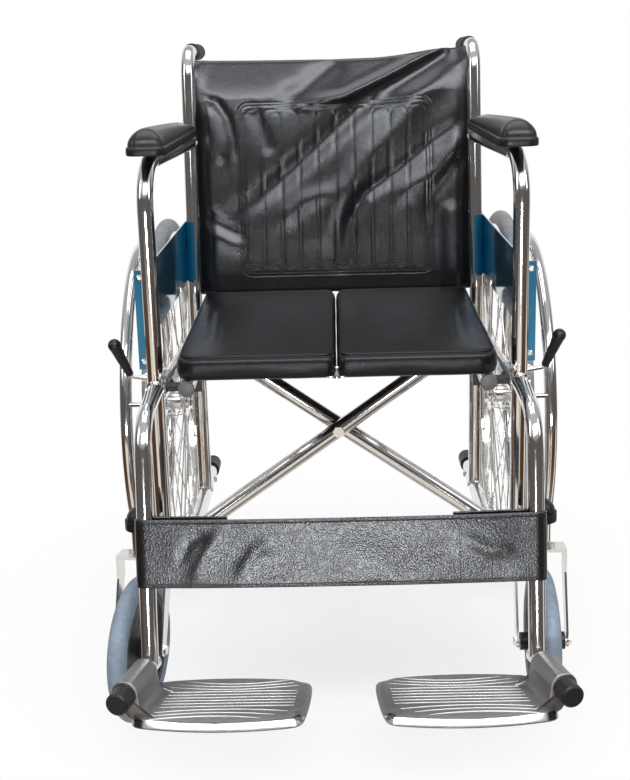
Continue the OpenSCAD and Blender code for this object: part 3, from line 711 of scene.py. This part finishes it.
def strap_frame():
    """Foot of the strap, its direction up the hangers and its direction backwards."""
    low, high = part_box("calf_strap")
    up = Vector((0, math.sin(HANGER_TILT), math.cos(HANGER_TILT)))
    back = Vector((0, math.cos(HANGER_TILT), -math.sin(HANGER_TILT)))
    reach = (high.x - 247 * MM)
    foot = Vector((0, 0, 0))
    foot.y = low.y + reach * math.cos(HANGER_TILT)
    foot.z = low.z + reach * math.sin(HANGER_TILT)
    tall = (high.z - reach * math.sin(HANGER_TILT) - foot.z) / math.cos(HANGER_TILT)
    return foot, up, back, tall, reach


def strap_path(reach):
    """Middle line of the band seen from above, in millimetres: (across, back) points."""
    post = 247.0
    r = reach / MM - 1.25
    flap = 104.0
    right = [(-post + flap * (1 - k / 24), r - 9 * (1 - k / 24) ** 2) for k in range(24)]
    turn = np.linspace(math.pi / 2, 3 * math.pi / 2, 18)
    bend = [(-post + r * math.cos(a), r * math.sin(a)) for a in turn]
    front = [(v, -r) for v in np.linspace(-post, post, 166)[1:-1]]
    path = right + bend + front
    return np.array(path + [(-p[0], p[1]) for p in bend[::-1]] + [(-p[0], p[1]) for p in right[::-1]])


def calf_strap():
    """Leatherette band round both hangers, sewn back on itself, with rolled edges."""
    foot, up, back, tall, reach = strap_frame()
    path = strap_path(reach)
    heights = clustered(0, tall / MM, 3.2, [3.2, tall / MM - 3.2], 3.0, 1.1)
    tangent = np.gradient(path, axis=0)
    tangent /= np.linalg.norm(tangent, axis=1, keepdims=True)
    outward = np.stack([tangent[:, 1], -tangent[:, 0]], 1)
    across, rise = np.meshgrid(path[:, 0], heights, indexing="ij")
    front = (np.abs(outward[:, 1] + 1) < 0.3)[:, None] * np.ones_like(rise)
    free = smooth_step((232 - np.abs(across)) / 40) * front
    h = rise / (tall / MM)
    relief = 0.55 * np.sin(across * 0.021 + 0.6) * np.sin(h * 5.2 + across * 0.006)
    relief += 0.8 * ridged(across, rise, [(-190, 6), (-172, 40), (-150, 74)], 8, 1.0)
    relief += 0.9 * ridged(across, rise, [(-132, 10), (-108, 46), (-84, 60)], 9, 1.0)
    relief -= 0.7 * ridged(across, rise, [(-206, 30), (-190, 60), (-168, 72)], 7, 1.0)
    relief -= 0.6 * ridged(across, rise, [(60, 12), (104, 40), (150, 52)], 12, 1.0)
    relief += 0.7 * ridged(across, rise, [(150, 60), (186, 42), (226, 38)], 8, 1.0)
    relief = 1.5 * relief * free
    edge = np.minimum(rise, tall / MM - rise)
    relief -= 0.7 * np.exp(-(((edge - 3.4) / 0.9) ** 2))
    sag = 1.6 * (1 - (across / 247) ** 2) * free
    thick = 2.1
    body = np.sqrt(np.clip(1 - (1 - np.clip(edge / 1.3, 0, 1)) ** 2, 0, 1))
    grids = []
    for face in (1, -1):
        offset = (relief if face > 0 else 0) + face * thick / 2 * (0.2 + 0.8 * body)
        px = path[:, 0][:, None] + outward[:, 0][:, None] * offset
        pn = path[:, 1][:, None] + outward[:, 1][:, None] * offset
        behind = smooth_step(path[:, 1][:, None] / 8)
        lift = 26.0 * behind
        z = lift + rise * (1 - lift / (tall / MM)) - sag
        base = np.array(foot)
        grid = (base + px[..., None] * MM * np.array((1.0, 0, 0)) + pn[..., None] * MM * np.array(back)
                + z[..., None] * MM * np.array(up))
        grids.append(grid)
    shape = Shape()
    shape.sheet(*grids)
    strap = make_piece("calf_band", shape, materials["strap_cover"], "right_frame", 70,
                       merge=0.001 * MM)
    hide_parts("calf_strap")
    squash_strap(strap)

    stitches = Shape()
    for line in (-190, -147, 150, 190):
        for k in range(15):
            z0 = 4.5 + k * 4.9
            sag_here = 1.6 * (1 - (line / 247) ** 2)
            ends = []
            for z in (z0, z0 + 3.1):
                at = foot + up * ((z - sag_here) * MM) + back * (-(reach / MM + 0.15) * MM)
                ends.append(at + Vector((line * MM, 0, 0)))
            stitches.tube(ends, 0.42 * MM, 6)
    thread = make_piece("strap_stitches", stitches, materials["thread"], "right_frame")
    squash_strap(thread)


# ------------------------------------------------------------------ arm pads

def arm_pads():
    """Moulded arm pads: an upright rim with a ledge, and a crown that runs down towards the rear."""
    for side, sign in SIDES.items():
        node = f"{side}_arm_pad"
        low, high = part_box(node)
        inner_x, outer_x = sorted((abs(low.x) / MM, abs(high.x) / MM))
        lo, hi = (inner_x, low.y / MM), (outer_x, high.y / MM)
        foot, top = 757.0, high.z / MM
        half = (hi[0] - lo[0]) / 2
        rim = 11.5
        profile = [(half - 0.5, foot + 0.2), (16, foot), (3, foot), (0.8, foot + 0.6), (0.2, foot + 2),
                   (0.0, foot + 6), (0.3, foot + rim - 1.6), (0.9, foot + rim - 0.4), (2.2, foot + rim)]
        steps = 9
        for k in range(steps + 1):
            a = math.pi / 2 * k / steps
            rise = 0.4 + (top - foot - rim) * math.sin(a)
            profile.append((2.5 + (half - 3.0) * (1 - math.cos(a)), foot + rim + rise))
        shape = padded_shape(lo, hi, (15, 15, 15, 15), half - 0.5, (half, 9), profile)
        shape.mirror(sign)
        pad = make_piece(f"{side}_arm_cushion", shape, materials["pad"], f"{side}_frame", 50)
        co = points_of(pad) / MM
        above = smooth_step((co[:, 2] - foot - rim - 0.3) / (top - foot - rim))
        front = smooth_step((lo[1] + 45 - co[:, 1]) / 45)
        rear = smooth_step((co[:, 1] - hi[1] + 50) / 50)
        thin = 12 * np.clip((co[:, 1] - lo[1] - 10) / 375, 0, 1.1) ** 1.2
        co[:, 2] -= above * (4 * front**1.5 + 4 * rear**1.5 + thin)
        co[:, 2] -= ARM_SLOPE * (co[:, 1] - FRONT_POST.y / MM)
        set_points(pad, co * MM)
        subdivide(pad)
        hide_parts(node)


# ------------------------------------------------------------------ footplates

def plate_outline():
    """Outline of the left footplate in millimetres, anticlockwise, with bowed ends and round corners."""
    inner_rear, outer_rear = np.array((40.0, -404.0)), np.array((240.0, -400.0))
    outer_front, inner_front = np.array((263.5, -502.0)), np.array((51.0, -508.0))

    def bow(a, b, out, count):
        t = np.linspace(0, 1, count)
        mid = a + (b - a) * t[:, None]
        return mid + np.outer(4 * t * (1 - t), out)

    front = bow(inner_front, outer_front, (0, -13), 30)
    outer = bow(outer_front, outer_rear, (0, 0), 10)
    rear = bow(outer_rear, inner_rear, (0, 9), 30)
    inner = bow(inner_rear, inner_front, (-3, 0), 14)
    raw = np.concatenate([front[:-1], outer[:-1], rear[:-1], inner[:-1]])
    for _ in range(3):
        raw = 0.25 * np.roll(raw, 1, 0) + 0.5 * raw + 0.25 * np.roll(raw, -1, 0)
    return raw


def inset_outline(points, distance):
    """The outline moved inwards by a distance, which may differ from point to point."""
    run = np.roll(points, -1, 0) - np.roll(points, 1, 0)
    run /= np.linalg.norm(run, axis=1, keepdims=True)
    inward = np.stack([-run[:, 1], run[:, 0]], 1)
    return points + inward * np.broadcast_to(np.asarray(distance, float), (len(points),))[:, None]


def footplates():
    """Cast footplates: a bevelled plate with thin ribs, and the barrel of its hinge."""
    foot = HANGER_FOOT
    run = Vector((math.sin(HINGE_TURN), -math.cos(HINGE_TURN), 0))
    across = Vector((math.cos(HINGE_TURN), math.sin(HINGE_TURN), 0))
    top, thick = 105.0, 8.0
    for side, sign in SIDES.items():
        node = f"{side}_footplate"
        outline = plate_outline()
        frontness = smooth_step((-486 - outline[:, 1]) / 12)
        innerness = smooth_step((66 - outline[:, 0]) / 12)
        levels = [(2.2, top - thick), (0.6, top - thick + 0.6), (0.0, top - thick + 2.0)]
        shape = Shape()
        rings = [inset_outline(outline, d) for d, _ in levels]
        heights = [np.full(len(outline), z) for _, z in levels]
        bevel = np.maximum(frontness, 0.55 * innerness)
        rings.append(inset_outline(outline, 0.15))
        heights.append(top - 1.4 - 4.2 * bevel)
        rings.append(inset_outline(outline, 0.9 + 0.6 * bevel))
        heights.append(top - 0.5 - 4.2 * bevel)
        rings.append(inset_outline(outline, 2.2 + 6.5 * bevel))
        heights.append(top - 0.15 - 1.0 * bevel)
        rings.append(inset_outline(outline, 3.4 + 8.5 * bevel))
        heights.append(np.full(len(outline), top))
        shape.loft([[(p[0] * MM, p[1] * MM, h * MM) for p, h in zip(ring, height)]
                    for ring, height in zip(rings, heights)])
        hinge_barrel(shape, foot, run, across)
        shape.mirror(sign)
        plate = make_piece(f"{side}_footrest_plate", shape, materials["aluminium"], f"{side}_footrest",
                           32)
        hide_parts(node)
        polished = materials["polished"]
        plate.data.materials.append(polished)
        for face in plate.data.polygons:
            c, n = face.center / MM, face.normal
            bevelled = c.y < -488 and 0.2 < n.z < 0.985 and c.z < top + 0.4
            if bevelled:
                face.material_index = 1
        raised = Shape()
        ribs(raised, top)
        raised.mirror(sign)
        make_piece(f"{side}_plate_ribs", raised, materials["rib"], f"{side}_footrest", 80)


def ribs(shape, top):
    """Thin raised ribs: three curved behind, six straight, three curved in front, one by the wall."""
    wall_lean = math.tan(HINGE_TURN)
    rows = [(-402 - 7.0 * k, -8.5, 30 - 8 * k, 26 - 6 * k) for k in range(3)]
    rows += [(-430 - 7.4 * k, 0.0, 13, 13) for k in range(6)]
    rows += [(-481 - 8.0 * k, 6.5, 13 + 3 * k, 18 + 16 * k) for k in range(3)]
    for y, bow, trim_outer, trim_inner in rows:
        outer = 226 + (-400 - y) * wall_lean - trim_outer + 6
        inner = 43 + (-404 - y) * 0.10 + trim_inner
        pts = []
        for t in np.linspace(0, 1, 25):
            px = inner + (outer - inner) * t
            pts.append((px * MM, (y + bow * 4 * t * (1 - t)) * MM, (top + 0.1) * MM))
        radii = [1.25 * MM * min(1, 0.35 + 4 * min(t, 1 - t)) for t in np.linspace(0, 1, 25)]
        shape.tube(pts, radii, 8)
    start, end = Vector((229, -408, top + 0.2)) * MM, Vector((249, -484, top + 0.2)) * MM
    shape.tube([start.lerp(end, t) for t in np.linspace(0, 1, 9)], 1.1 * MM, 8)


def hinge_barrel(shape, foot, run, across):
    """Barrel round the hinge pin, drawn down into the wall that carries the plate."""
    r, bore = 17.0, 11.2
    outer = []
    for a in np.linspace(-70, 188, 40):
        ridge = 0.7 * math.exp(-(((a - 118) / 7) ** 2)) + 0.7 * math.exp(-(((a - 64) / 7) ** 2))
        rad = math.radians(a)
        outer.append(((r + ridge) * math.cos(rad), (r + ridge) * math.sin(rad)))
    outer += [(-17.6, -6), (-18.4, -12), (-20.4, -18), (-24.5, -22.6), (-31, -25.2), (-38, -25.9),
              (-38, -30), (-20, -32.5), (-9, -32.6), (-2, -29), (3, -21.5)]
    outer = np.array(outer)
    angles = np.arctan2(outer[:, 1], outer[:, 0])
    inner = np.stack([np.cos(angles), np.sin(angles)], 1) * bore
    steps = [(16.0, 0.94), (16.8, 0.99), (18.5, 1.0)] + [(s, 1.0) for s in np.linspace(24, 74, 8)]
    steps += [(77.0, 1.0), (77.8, 1.045), (80.6, 1.045), (81.6, 1.0), (82.0, 0.95)]

    def ring(points, along, scale=1.0):
        return [foot + run * (along * MM) + across * (p[0] * scale * MM) + Vector((0, 0, p[1] * scale * MM))
                for p in points]

    rings = [ring(outer, s, k) for s, k in steps]
    rings += [ring(inner, 82.0), ring(inner, 16.0), ring(outer, 16.0, 0.94)]
    shape.loft(rings, caps=False)


# ------------------------------------------------------------------ welds and small parts

def joint_curve(start, direction, radius, main_point, main_dir, main_radius, count=48):
    """Where a round bar's side meets the side of the tube that it runs into."""
    start, direction = Vector(start), Vector(direction).normalized()
    main_point, main_dir = Vector(main_point), Vector(main_dir).normalized()
    across = direction.orthogonal().normalized()
    up = direction.cross(across)
    curve = []
    for a in np.linspace(0, 2 * math.pi, count, endpoint=False):
        p = start + radius * (across * math.cos(a) + up * math.sin(a))
        w = p - main_point
        w -= main_dir * w.dot(main_dir)
        d = direction - main_dir * direction.dot(main_dir)
        qa, qb, qc = d.dot(d), 2 * w.dot(d), w.dot(w) - main_radius**2
        root = max(qb * qb - 4 * qa * qc, 0)
        curve.append(p + direction * ((-qb - math.sqrt(root)) / (2 * qa)))
    return curve


def weld_bead(shape, curve, size=1.9 * MM, ripples=26):
    """A rippled bead along a closed curve."""
    n = len(curve)
    radii = [size * (1 + 0.22 * math.sin(2 * math.pi * ripples * i / n) + 0.08 * math.sin(5 * i))
             for i in range(n)]
    shape.tube(curve, radii, 8, closed=True)


def back_at(z):
    return Vector((228 * MM, 185 * MM + max(0, z - 505 * MM) * math.tan(RECLINE), z))


def hanger_at(z):
    return HANGER_FOOT + Vector((0, (z - HANGER_FOOT.z) * math.tan(HANGER_TILT), z - HANGER_FOOT.z))


def frame_welds():
    """Weld beads where the frame's tubes meet."""
    front = FRONT_POST
    up = Vector((0, 0, 1))
    lean = Vector((0, math.sin(RECLINE), math.cos(RECLINE)))
    rail_front, rail_back = front + up * 0.430, back_at(0.430)
    hanger_start, hanger_bend = front + up * 0.446, Vector((247, -345, 436)) * MM
    lower_front = front + up * 0.243
    lower_bend = Vector((228, -58, 152)) * MM
    joints = [
        (hanger_bend, hanger_start - hanger_bend, TUBE_R, front, up, 2.4),
        (rail_front.lerp(rail_back, 0.2), rail_front - rail_back, TUBE_R, front, up, 1.7),
        (rail_front.lerp(rail_back, 0.8), rail_back - rail_front, TUBE_R, back_at(0.43), up, 1.7),
        (lower_bend.lerp(lower_front, 0.6), lower_front - lower_bend, TUBE_R, front, up, 1.9),
        (back_at(0.30), Vector((0, 0, -1)), TUBE_R, Vector((228, 185, 152)) * MM, Vector((0, 1, 0)), 1.8),
        (Vector((244, 100, 737.1)) * MM, back_at(0.734) - Vector((244, 100, 737.1)) * MM, TUBE_R,
         back_at(0.734), lean, 1.8),
    ]
    for side, sign in SIDES.items():
        shape = Shape()
        for start, direction, radius, point, line, size in joints:
            weld_bead(shape, joint_curve(start, direction, radius, point, line, TUBE_R), size * MM)
        strut_post = front + up * 0.245
        strut_front = hanger_at(0.245)
        along, middle = strut_front - strut_post, strut_post.lerp(strut_front, 0.5)
        tilt = Vector((0, math.sin(HANGER_TILT), math.cos(HANGER_TILT)))
        for run, point, line in ((-along, front, up), (along, strut_front, tilt)):
            weld_bead(shape, joint_curve(middle, run, 9 * MM, point, line, TUBE_R), 1.6 * MM)
        shape.mirror(sign)
        make_piece(f"{side}_weld_beads", shape, materials["chrome"], f"{side}_frame", 80)


def back_screws():
    """Domed screws with washers that hold the sling to the back of each post."""
    rearward = Vector((0, math.cos(RECLINE), -math.sin(RECLINE)))
    washer, head, base, tall = 6.5, 4.2, 0.8, 2.4
    outline = [(0, -0.2), (washer, -0.2), (washer, 0.5), (washer * 0.96, base), (head, base),
               (head, base + tall * 0.25)]
    for a in np.radians(np.linspace(20, 90, 6)):
        outline.append((head * math.cos(a) / math.cos(math.radians(20)),
                        base + tall * (0.25 + 0.75 * math.sin(a))))
    outline += [(head * 0.16, base + tall * 0.9), (0, base + tall * 0.86)]
    for side, sign in SIDES.items():
        shape = Shape()
        for z, out in ((0.535, 19.4), (0.625, 16.6), (0.70, 16.6), (0.775, 16.6), (0.838, 16.9)):
            at = back_at(z) + rearward * (out * MM)
            at.x *= sign
            shape.turned([(r * MM, h * MM) for r, h in outline], at, rearward, 24)
        make_piece(f"{side}_sling_screws", shape, materials["fasteners"], f"{side}_frame")


def seat_hardware():
    """Bright stud at the front of the seat's middle, and plugs in the ends of the seat rails."""
    low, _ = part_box("left_seat_cushion")
    shape = Shape()
    at = Vector((0, low.y + 6 * MM, low.z + 1 * MM))
    outline = [(0, 0), (5.4, 0), (5.4, 2), (4.6, 5), (3.0, 9), (2.4, 11.5), (3.3, 13), (3.6, 14.5),
               (2.6, 16.2), (0, 16.8)]
    shape.turned([(r * MM, h * MM) for r, h in outline], at, (0, 0, 1), 28)
    shape.tube([at + Vector((s * MM, 0, 1.2 * MM)) for s in (-16, -8, 0, 8, 16)], 1.2 * MM, 10)
    stud = make_piece("seat_stud", shape, materials["fasteners"], "seat")
    squash_seat(stud)
    for side, body in (("left", "front_brace"), ("right", "back_brace")):
        low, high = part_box(f"{side}_seat_rail")
        centre_x, centre_z = (low.x + high.x) / 2, (low.z + high.z) / 2
        shape = Shape()
        cap = [(0, -0.1), (11.0, -0.1), (11.3, 0.6), (11.3, 2.2), (10.6, 3.4), (8.0, 4.2), (0, 4.5)]
        for y, way in ((low.y, -1), (high.y, 1)):
            shape.turned([(r * MM, h * MM) for r, h in cap], (centre_x, y, centre_z), (0, way, 0), 32)
        make_piece(f"{side}_rail_plugs", shape, materials["clear_plug"], body)


def wheel_details():
    """Spoke nipples and hub seals on each rear wheel."""
    spokes, rim_in = 36, 268.0
    for side, sign in SIDES.items():
        centre = Vector((275 * sign, 212, 305)) * MM
        shape = Shape()
        for i in range(spokes):
            lean = 1 if i % 2 == 0 else -1
            a = 2 * math.pi * i / spokes
            out = Vector((0, math.cos(a), math.sin(a)))
            foot = centre + out * ((rim_in + 0.3) * MM) + Vector((sign * lean * 3 * MM, 0, 0))
            nipple = [(0, 0), (2.6, 0), (2.2, 1.2), (1.7, 1.6), (1.7, 8), (1.3, 9.5), (0, 9.5)]
            shape.turned([(r * MM, h * MM) for r, h in nipple], foot, -out, 10)
        make_piece(f"{side}_spoke_nipples", shape, materials["fasteners"], f"{side}_wheel")
        hub = Shape()
        for way in (-1, 1):
            ring = [(6.3, 26.5), (9.4, 26.5), (9.4, 27.3), (8.6, 27.8), (6.3, 27.8), (6.3, 26.5)]
            hub.turned([(r * MM, x * MM) for r, x in ring], centre, (way, 0, 0), 32)
        make_piece(f"{side}_hub_seals", hub, materials["plastic"], f"{side}_wheel")


def grip_buttons():
    """Moulded button in the end of each grip."""
    for side in SIDES:
        low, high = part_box(f"{side}_push_grip")
        shape = Shape()
        start = Vector(((low.x + high.x) / 2, high.y, high.z - 16.6 * MM))
        shape.turned([(0, 0), (6 * MM, 0), (6 * MM, 0.8 * MM), (4 * MM, 1.4 * MM), (0, 1.6 * MM)],
                     start + Vector((0, -0.6 * MM, -2.2 * MM)), (0, 1, 0), 24)
        make_piece(f"{side}_grip_button", shape, materials["grip"], f"{side}_frame")


# ------------------------------------------------------------------ studio

def aim(obj, at, target):
    obj.location = at
    obj.rotation_euler = (Vector(target) - Vector(at)).to_track_quat("-Z", "Y").to_euler()


def soft_light(name, at, target, size, power, tint=(1, 1, 1)):
    data = bpy.data.lights.new(name, "AREA")
    data.shape = "RECTANGLE"
    data.size, data.size_y = size
    data.energy = power
    data.color = tint
    obj = bpy.data.objects.new(name, data)
    bpy.context.scene.collection.objects.link(obj)
    aim(obj, at, target)
    return obj


def studio_world():
    """Room round the chair: warm and dark uprights low down for the plating to reflect, a dim band
    at eye level and a pale ceiling. The camera sees plain white."""
    world = bpy.data.worlds.new("studio")
    bpy.context.scene.world = world
    world.use_nodes = True
    tree = world.node_tree
    nodes, links = tree.nodes, tree.links

    def node(kind, inputs=None, **settings):
        return add_node(tree, kind, inputs, **settings)

    def by_angle(stops):
        """Colours round the room, from (degrees from straight ahead, colour) pairs."""
        made = node("ShaderNodeValToRGB", {"Fac": share})
        elements = made.color_ramp.elements
        while len(elements) < len(stops):
            elements.new(0.5)
        for element, (angle, colour) in zip(elements, stops):
            element.position = (angle + 180) / 360
            element.color = (*colour, 1)
        return made.outputs["Color"]

    split = node("ShaderNodeSeparateXYZ", {0: node("ShaderNodeTexCoord").outputs["Generated"]})
    to_front = node("ShaderNodeMath", {0: split.outputs["Y"], 1: -1.0}, operation="MULTIPLY").outputs[0]
    turn = node("ShaderNodeMath", {0: split.outputs["X"], 1: to_front}, operation="ARCTAN2").outputs[0]
    around = {"Value": turn, "From Min": -math.pi, "From Max": math.pi}
    share = node("ShaderNodeMapRange", around).outputs[0]
    white, cream, brown = (1.0, 1.0, 1.0), (0.90, 0.85, 0.76), (0.10, 0.048, 0.024)
    dark, dim = (0.035, 0.020, 0.014), (0.12, 0.11, 0.105)
    uprights = [(-180, white), (-132, white), (-120, brown), (-44, brown), (-38, cream), (12, cream),
                (22, brown), (78, brown), (84, cream), (104, cream), (108, dark), (130, dark), (138, white)]
    low = by_angle(uprights)
    level = [(-180, white), (-140, white), (-110, dim), (110, dim), (140, white)]
    middle = by_angle(level)
    behind, ahead = (0.45, 0.45, 0.47), (0.55, 0.56, 0.58)
    over = [(-180, behind), (-120, behind), (-70, ahead), (70, ahead), (120, behind)]
    high = by_angle(over)
    rise = split.outputs["Z"]
    lift = node("ShaderNodeMapRange", {"Value": rise, "From Min": -0.24, "From Max": -0.16}).outputs[0]
    top = node("ShaderNodeMapRange", {"Value": rise, "From Min": 0.34, "From Max": 0.55}).outputs[0]

    def mixed(factor, a, b):
        made = node("ShaderNodeMix", {"Factor": factor}, data_type="RGBA")
        links.new(a, made.inputs["A"])
        links.new(b, made.inputs["B"])
        return made.outputs["Result"]

    whole = mixed(top, mixed(lift, low, middle), high)
    room = node("ShaderNodeBackground", {"Color": whole, "Strength": 0.9})
    plain = node("ShaderNodeBackground", {"Color": (1, 1, 1, 1), "Strength": 1.0})
    rays = node("ShaderNodeLightPath")
    choose = node("ShaderNodeMixShader", {"Fac": rays.outputs["Is Camera Ray"]})
    links.new(room.outputs[0], choose.inputs[1])
    links.new(plain.outputs[0], choose.inputs[2])
    links.new(choose.outputs[0], nodes["World Output"].inputs["Surface"])


def studio_floor():
    """Plain pale floor that fades into the white round it."""
    mesh = bpy.data.meshes.new("floor")
    reach = 3.0
    mesh.from_pydata([(-reach, -reach, 0), (reach, -reach, 0), (reach, reach, 0), (-reach, reach, 0)], [],
                     [(0, 1, 2, 3)])
    floor = bpy.data.objects.new("floor", mesh)
    bpy.context.scene.collection.objects.link(floor)
    paint = Paint("floor_paint", Roughness=0.8)
    paint.colour(paint.noise(0.4, 2), (0.87, 0.87, 0.87), (0.90, 0.90, 0.90))
    away = paint.node("ShaderNodeVectorMath", {0: paint.place}, operation="LENGTH").outputs["Value"]
    fade = paint.node("ShaderNodeMapRange", {"Value": away, "From Min": -0.9, "From Max": 0.8},
                      interpolation_type="SMOOTHSTEP").outputs[0]
    clear = paint.node("ShaderNodeBsdfTransparent")
    mix = paint.node("ShaderNodeMixShader", {"Fac": fade, 1: paint.shader.outputs[0], 2: clear.outputs[0]})
    paint.tree.links.new(mix.outputs[0], paint.tree.nodes["Material Output"].inputs["Surface"])
    mesh.materials.append(paint.material)


def studio():
    """Floor, room, soft lights and the camera."""
    studio_floor()
    studio_world()
    centre = (0, 0, 0.5)
    soft_light("key", (0.4, -2.6, 3.0), centre, (3.4, 1.3), 90)
    soft_light("low_front", (0, -3.5, 0.17), (0, 0, 0.2), (0.8, 0.34), 21)
    soft_light("left_fill", (-2.6, -1.0, 2.1), centre, (0.9, 1.6), 11)
    soft_light("right_fill", (2.6, -1.0, 2.1), centre, (0.9, 1.6), 11)
    soft_light("top", (0, 0.5, 3.2), (0, 0.1, 0.4), (2.4, 1.8), 30)

    scene = bpy.context.scene
    scene.view_settings.view_transform = "Standard"
    data = bpy.data.cameras.new("camera")
    data.sensor_width = 36
    data.lens = 61.79
    camera = bpy.data.objects.new("camera", data)
    scene.collection.objects.link(camera)
    scene.camera = camera
    pitch, yaw, roll = math.radians(15.69), math.radians(-1.11), math.radians(1.6)
    forward = Vector((math.sin(yaw) * math.cos(pitch), math.cos(yaw) * math.cos(pitch), -math.sin(pitch)))
    right = Vector((math.cos(yaw), -math.sin(yaw), 0))
    up = right.cross(forward)
    turned_right = right * math.cos(roll) - up * math.sin(roll)
    turned_up = right * math.sin(roll) + up * math.cos(roll)
    matrix = Matrix((turned_right, turned_up, -forward)).transposed().to_4x4()
    matrix.translation = (0.00361, -1.95492, 0.92714)
    camera.matrix_world = matrix


studio()
paint_cad_nodes()
back_sling()
seat_cushions()
calf_strap()
arm_pads()
footplates()
frame_welds()
back_screws()
seat_hardware()
wheel_details()
grip_buttons()
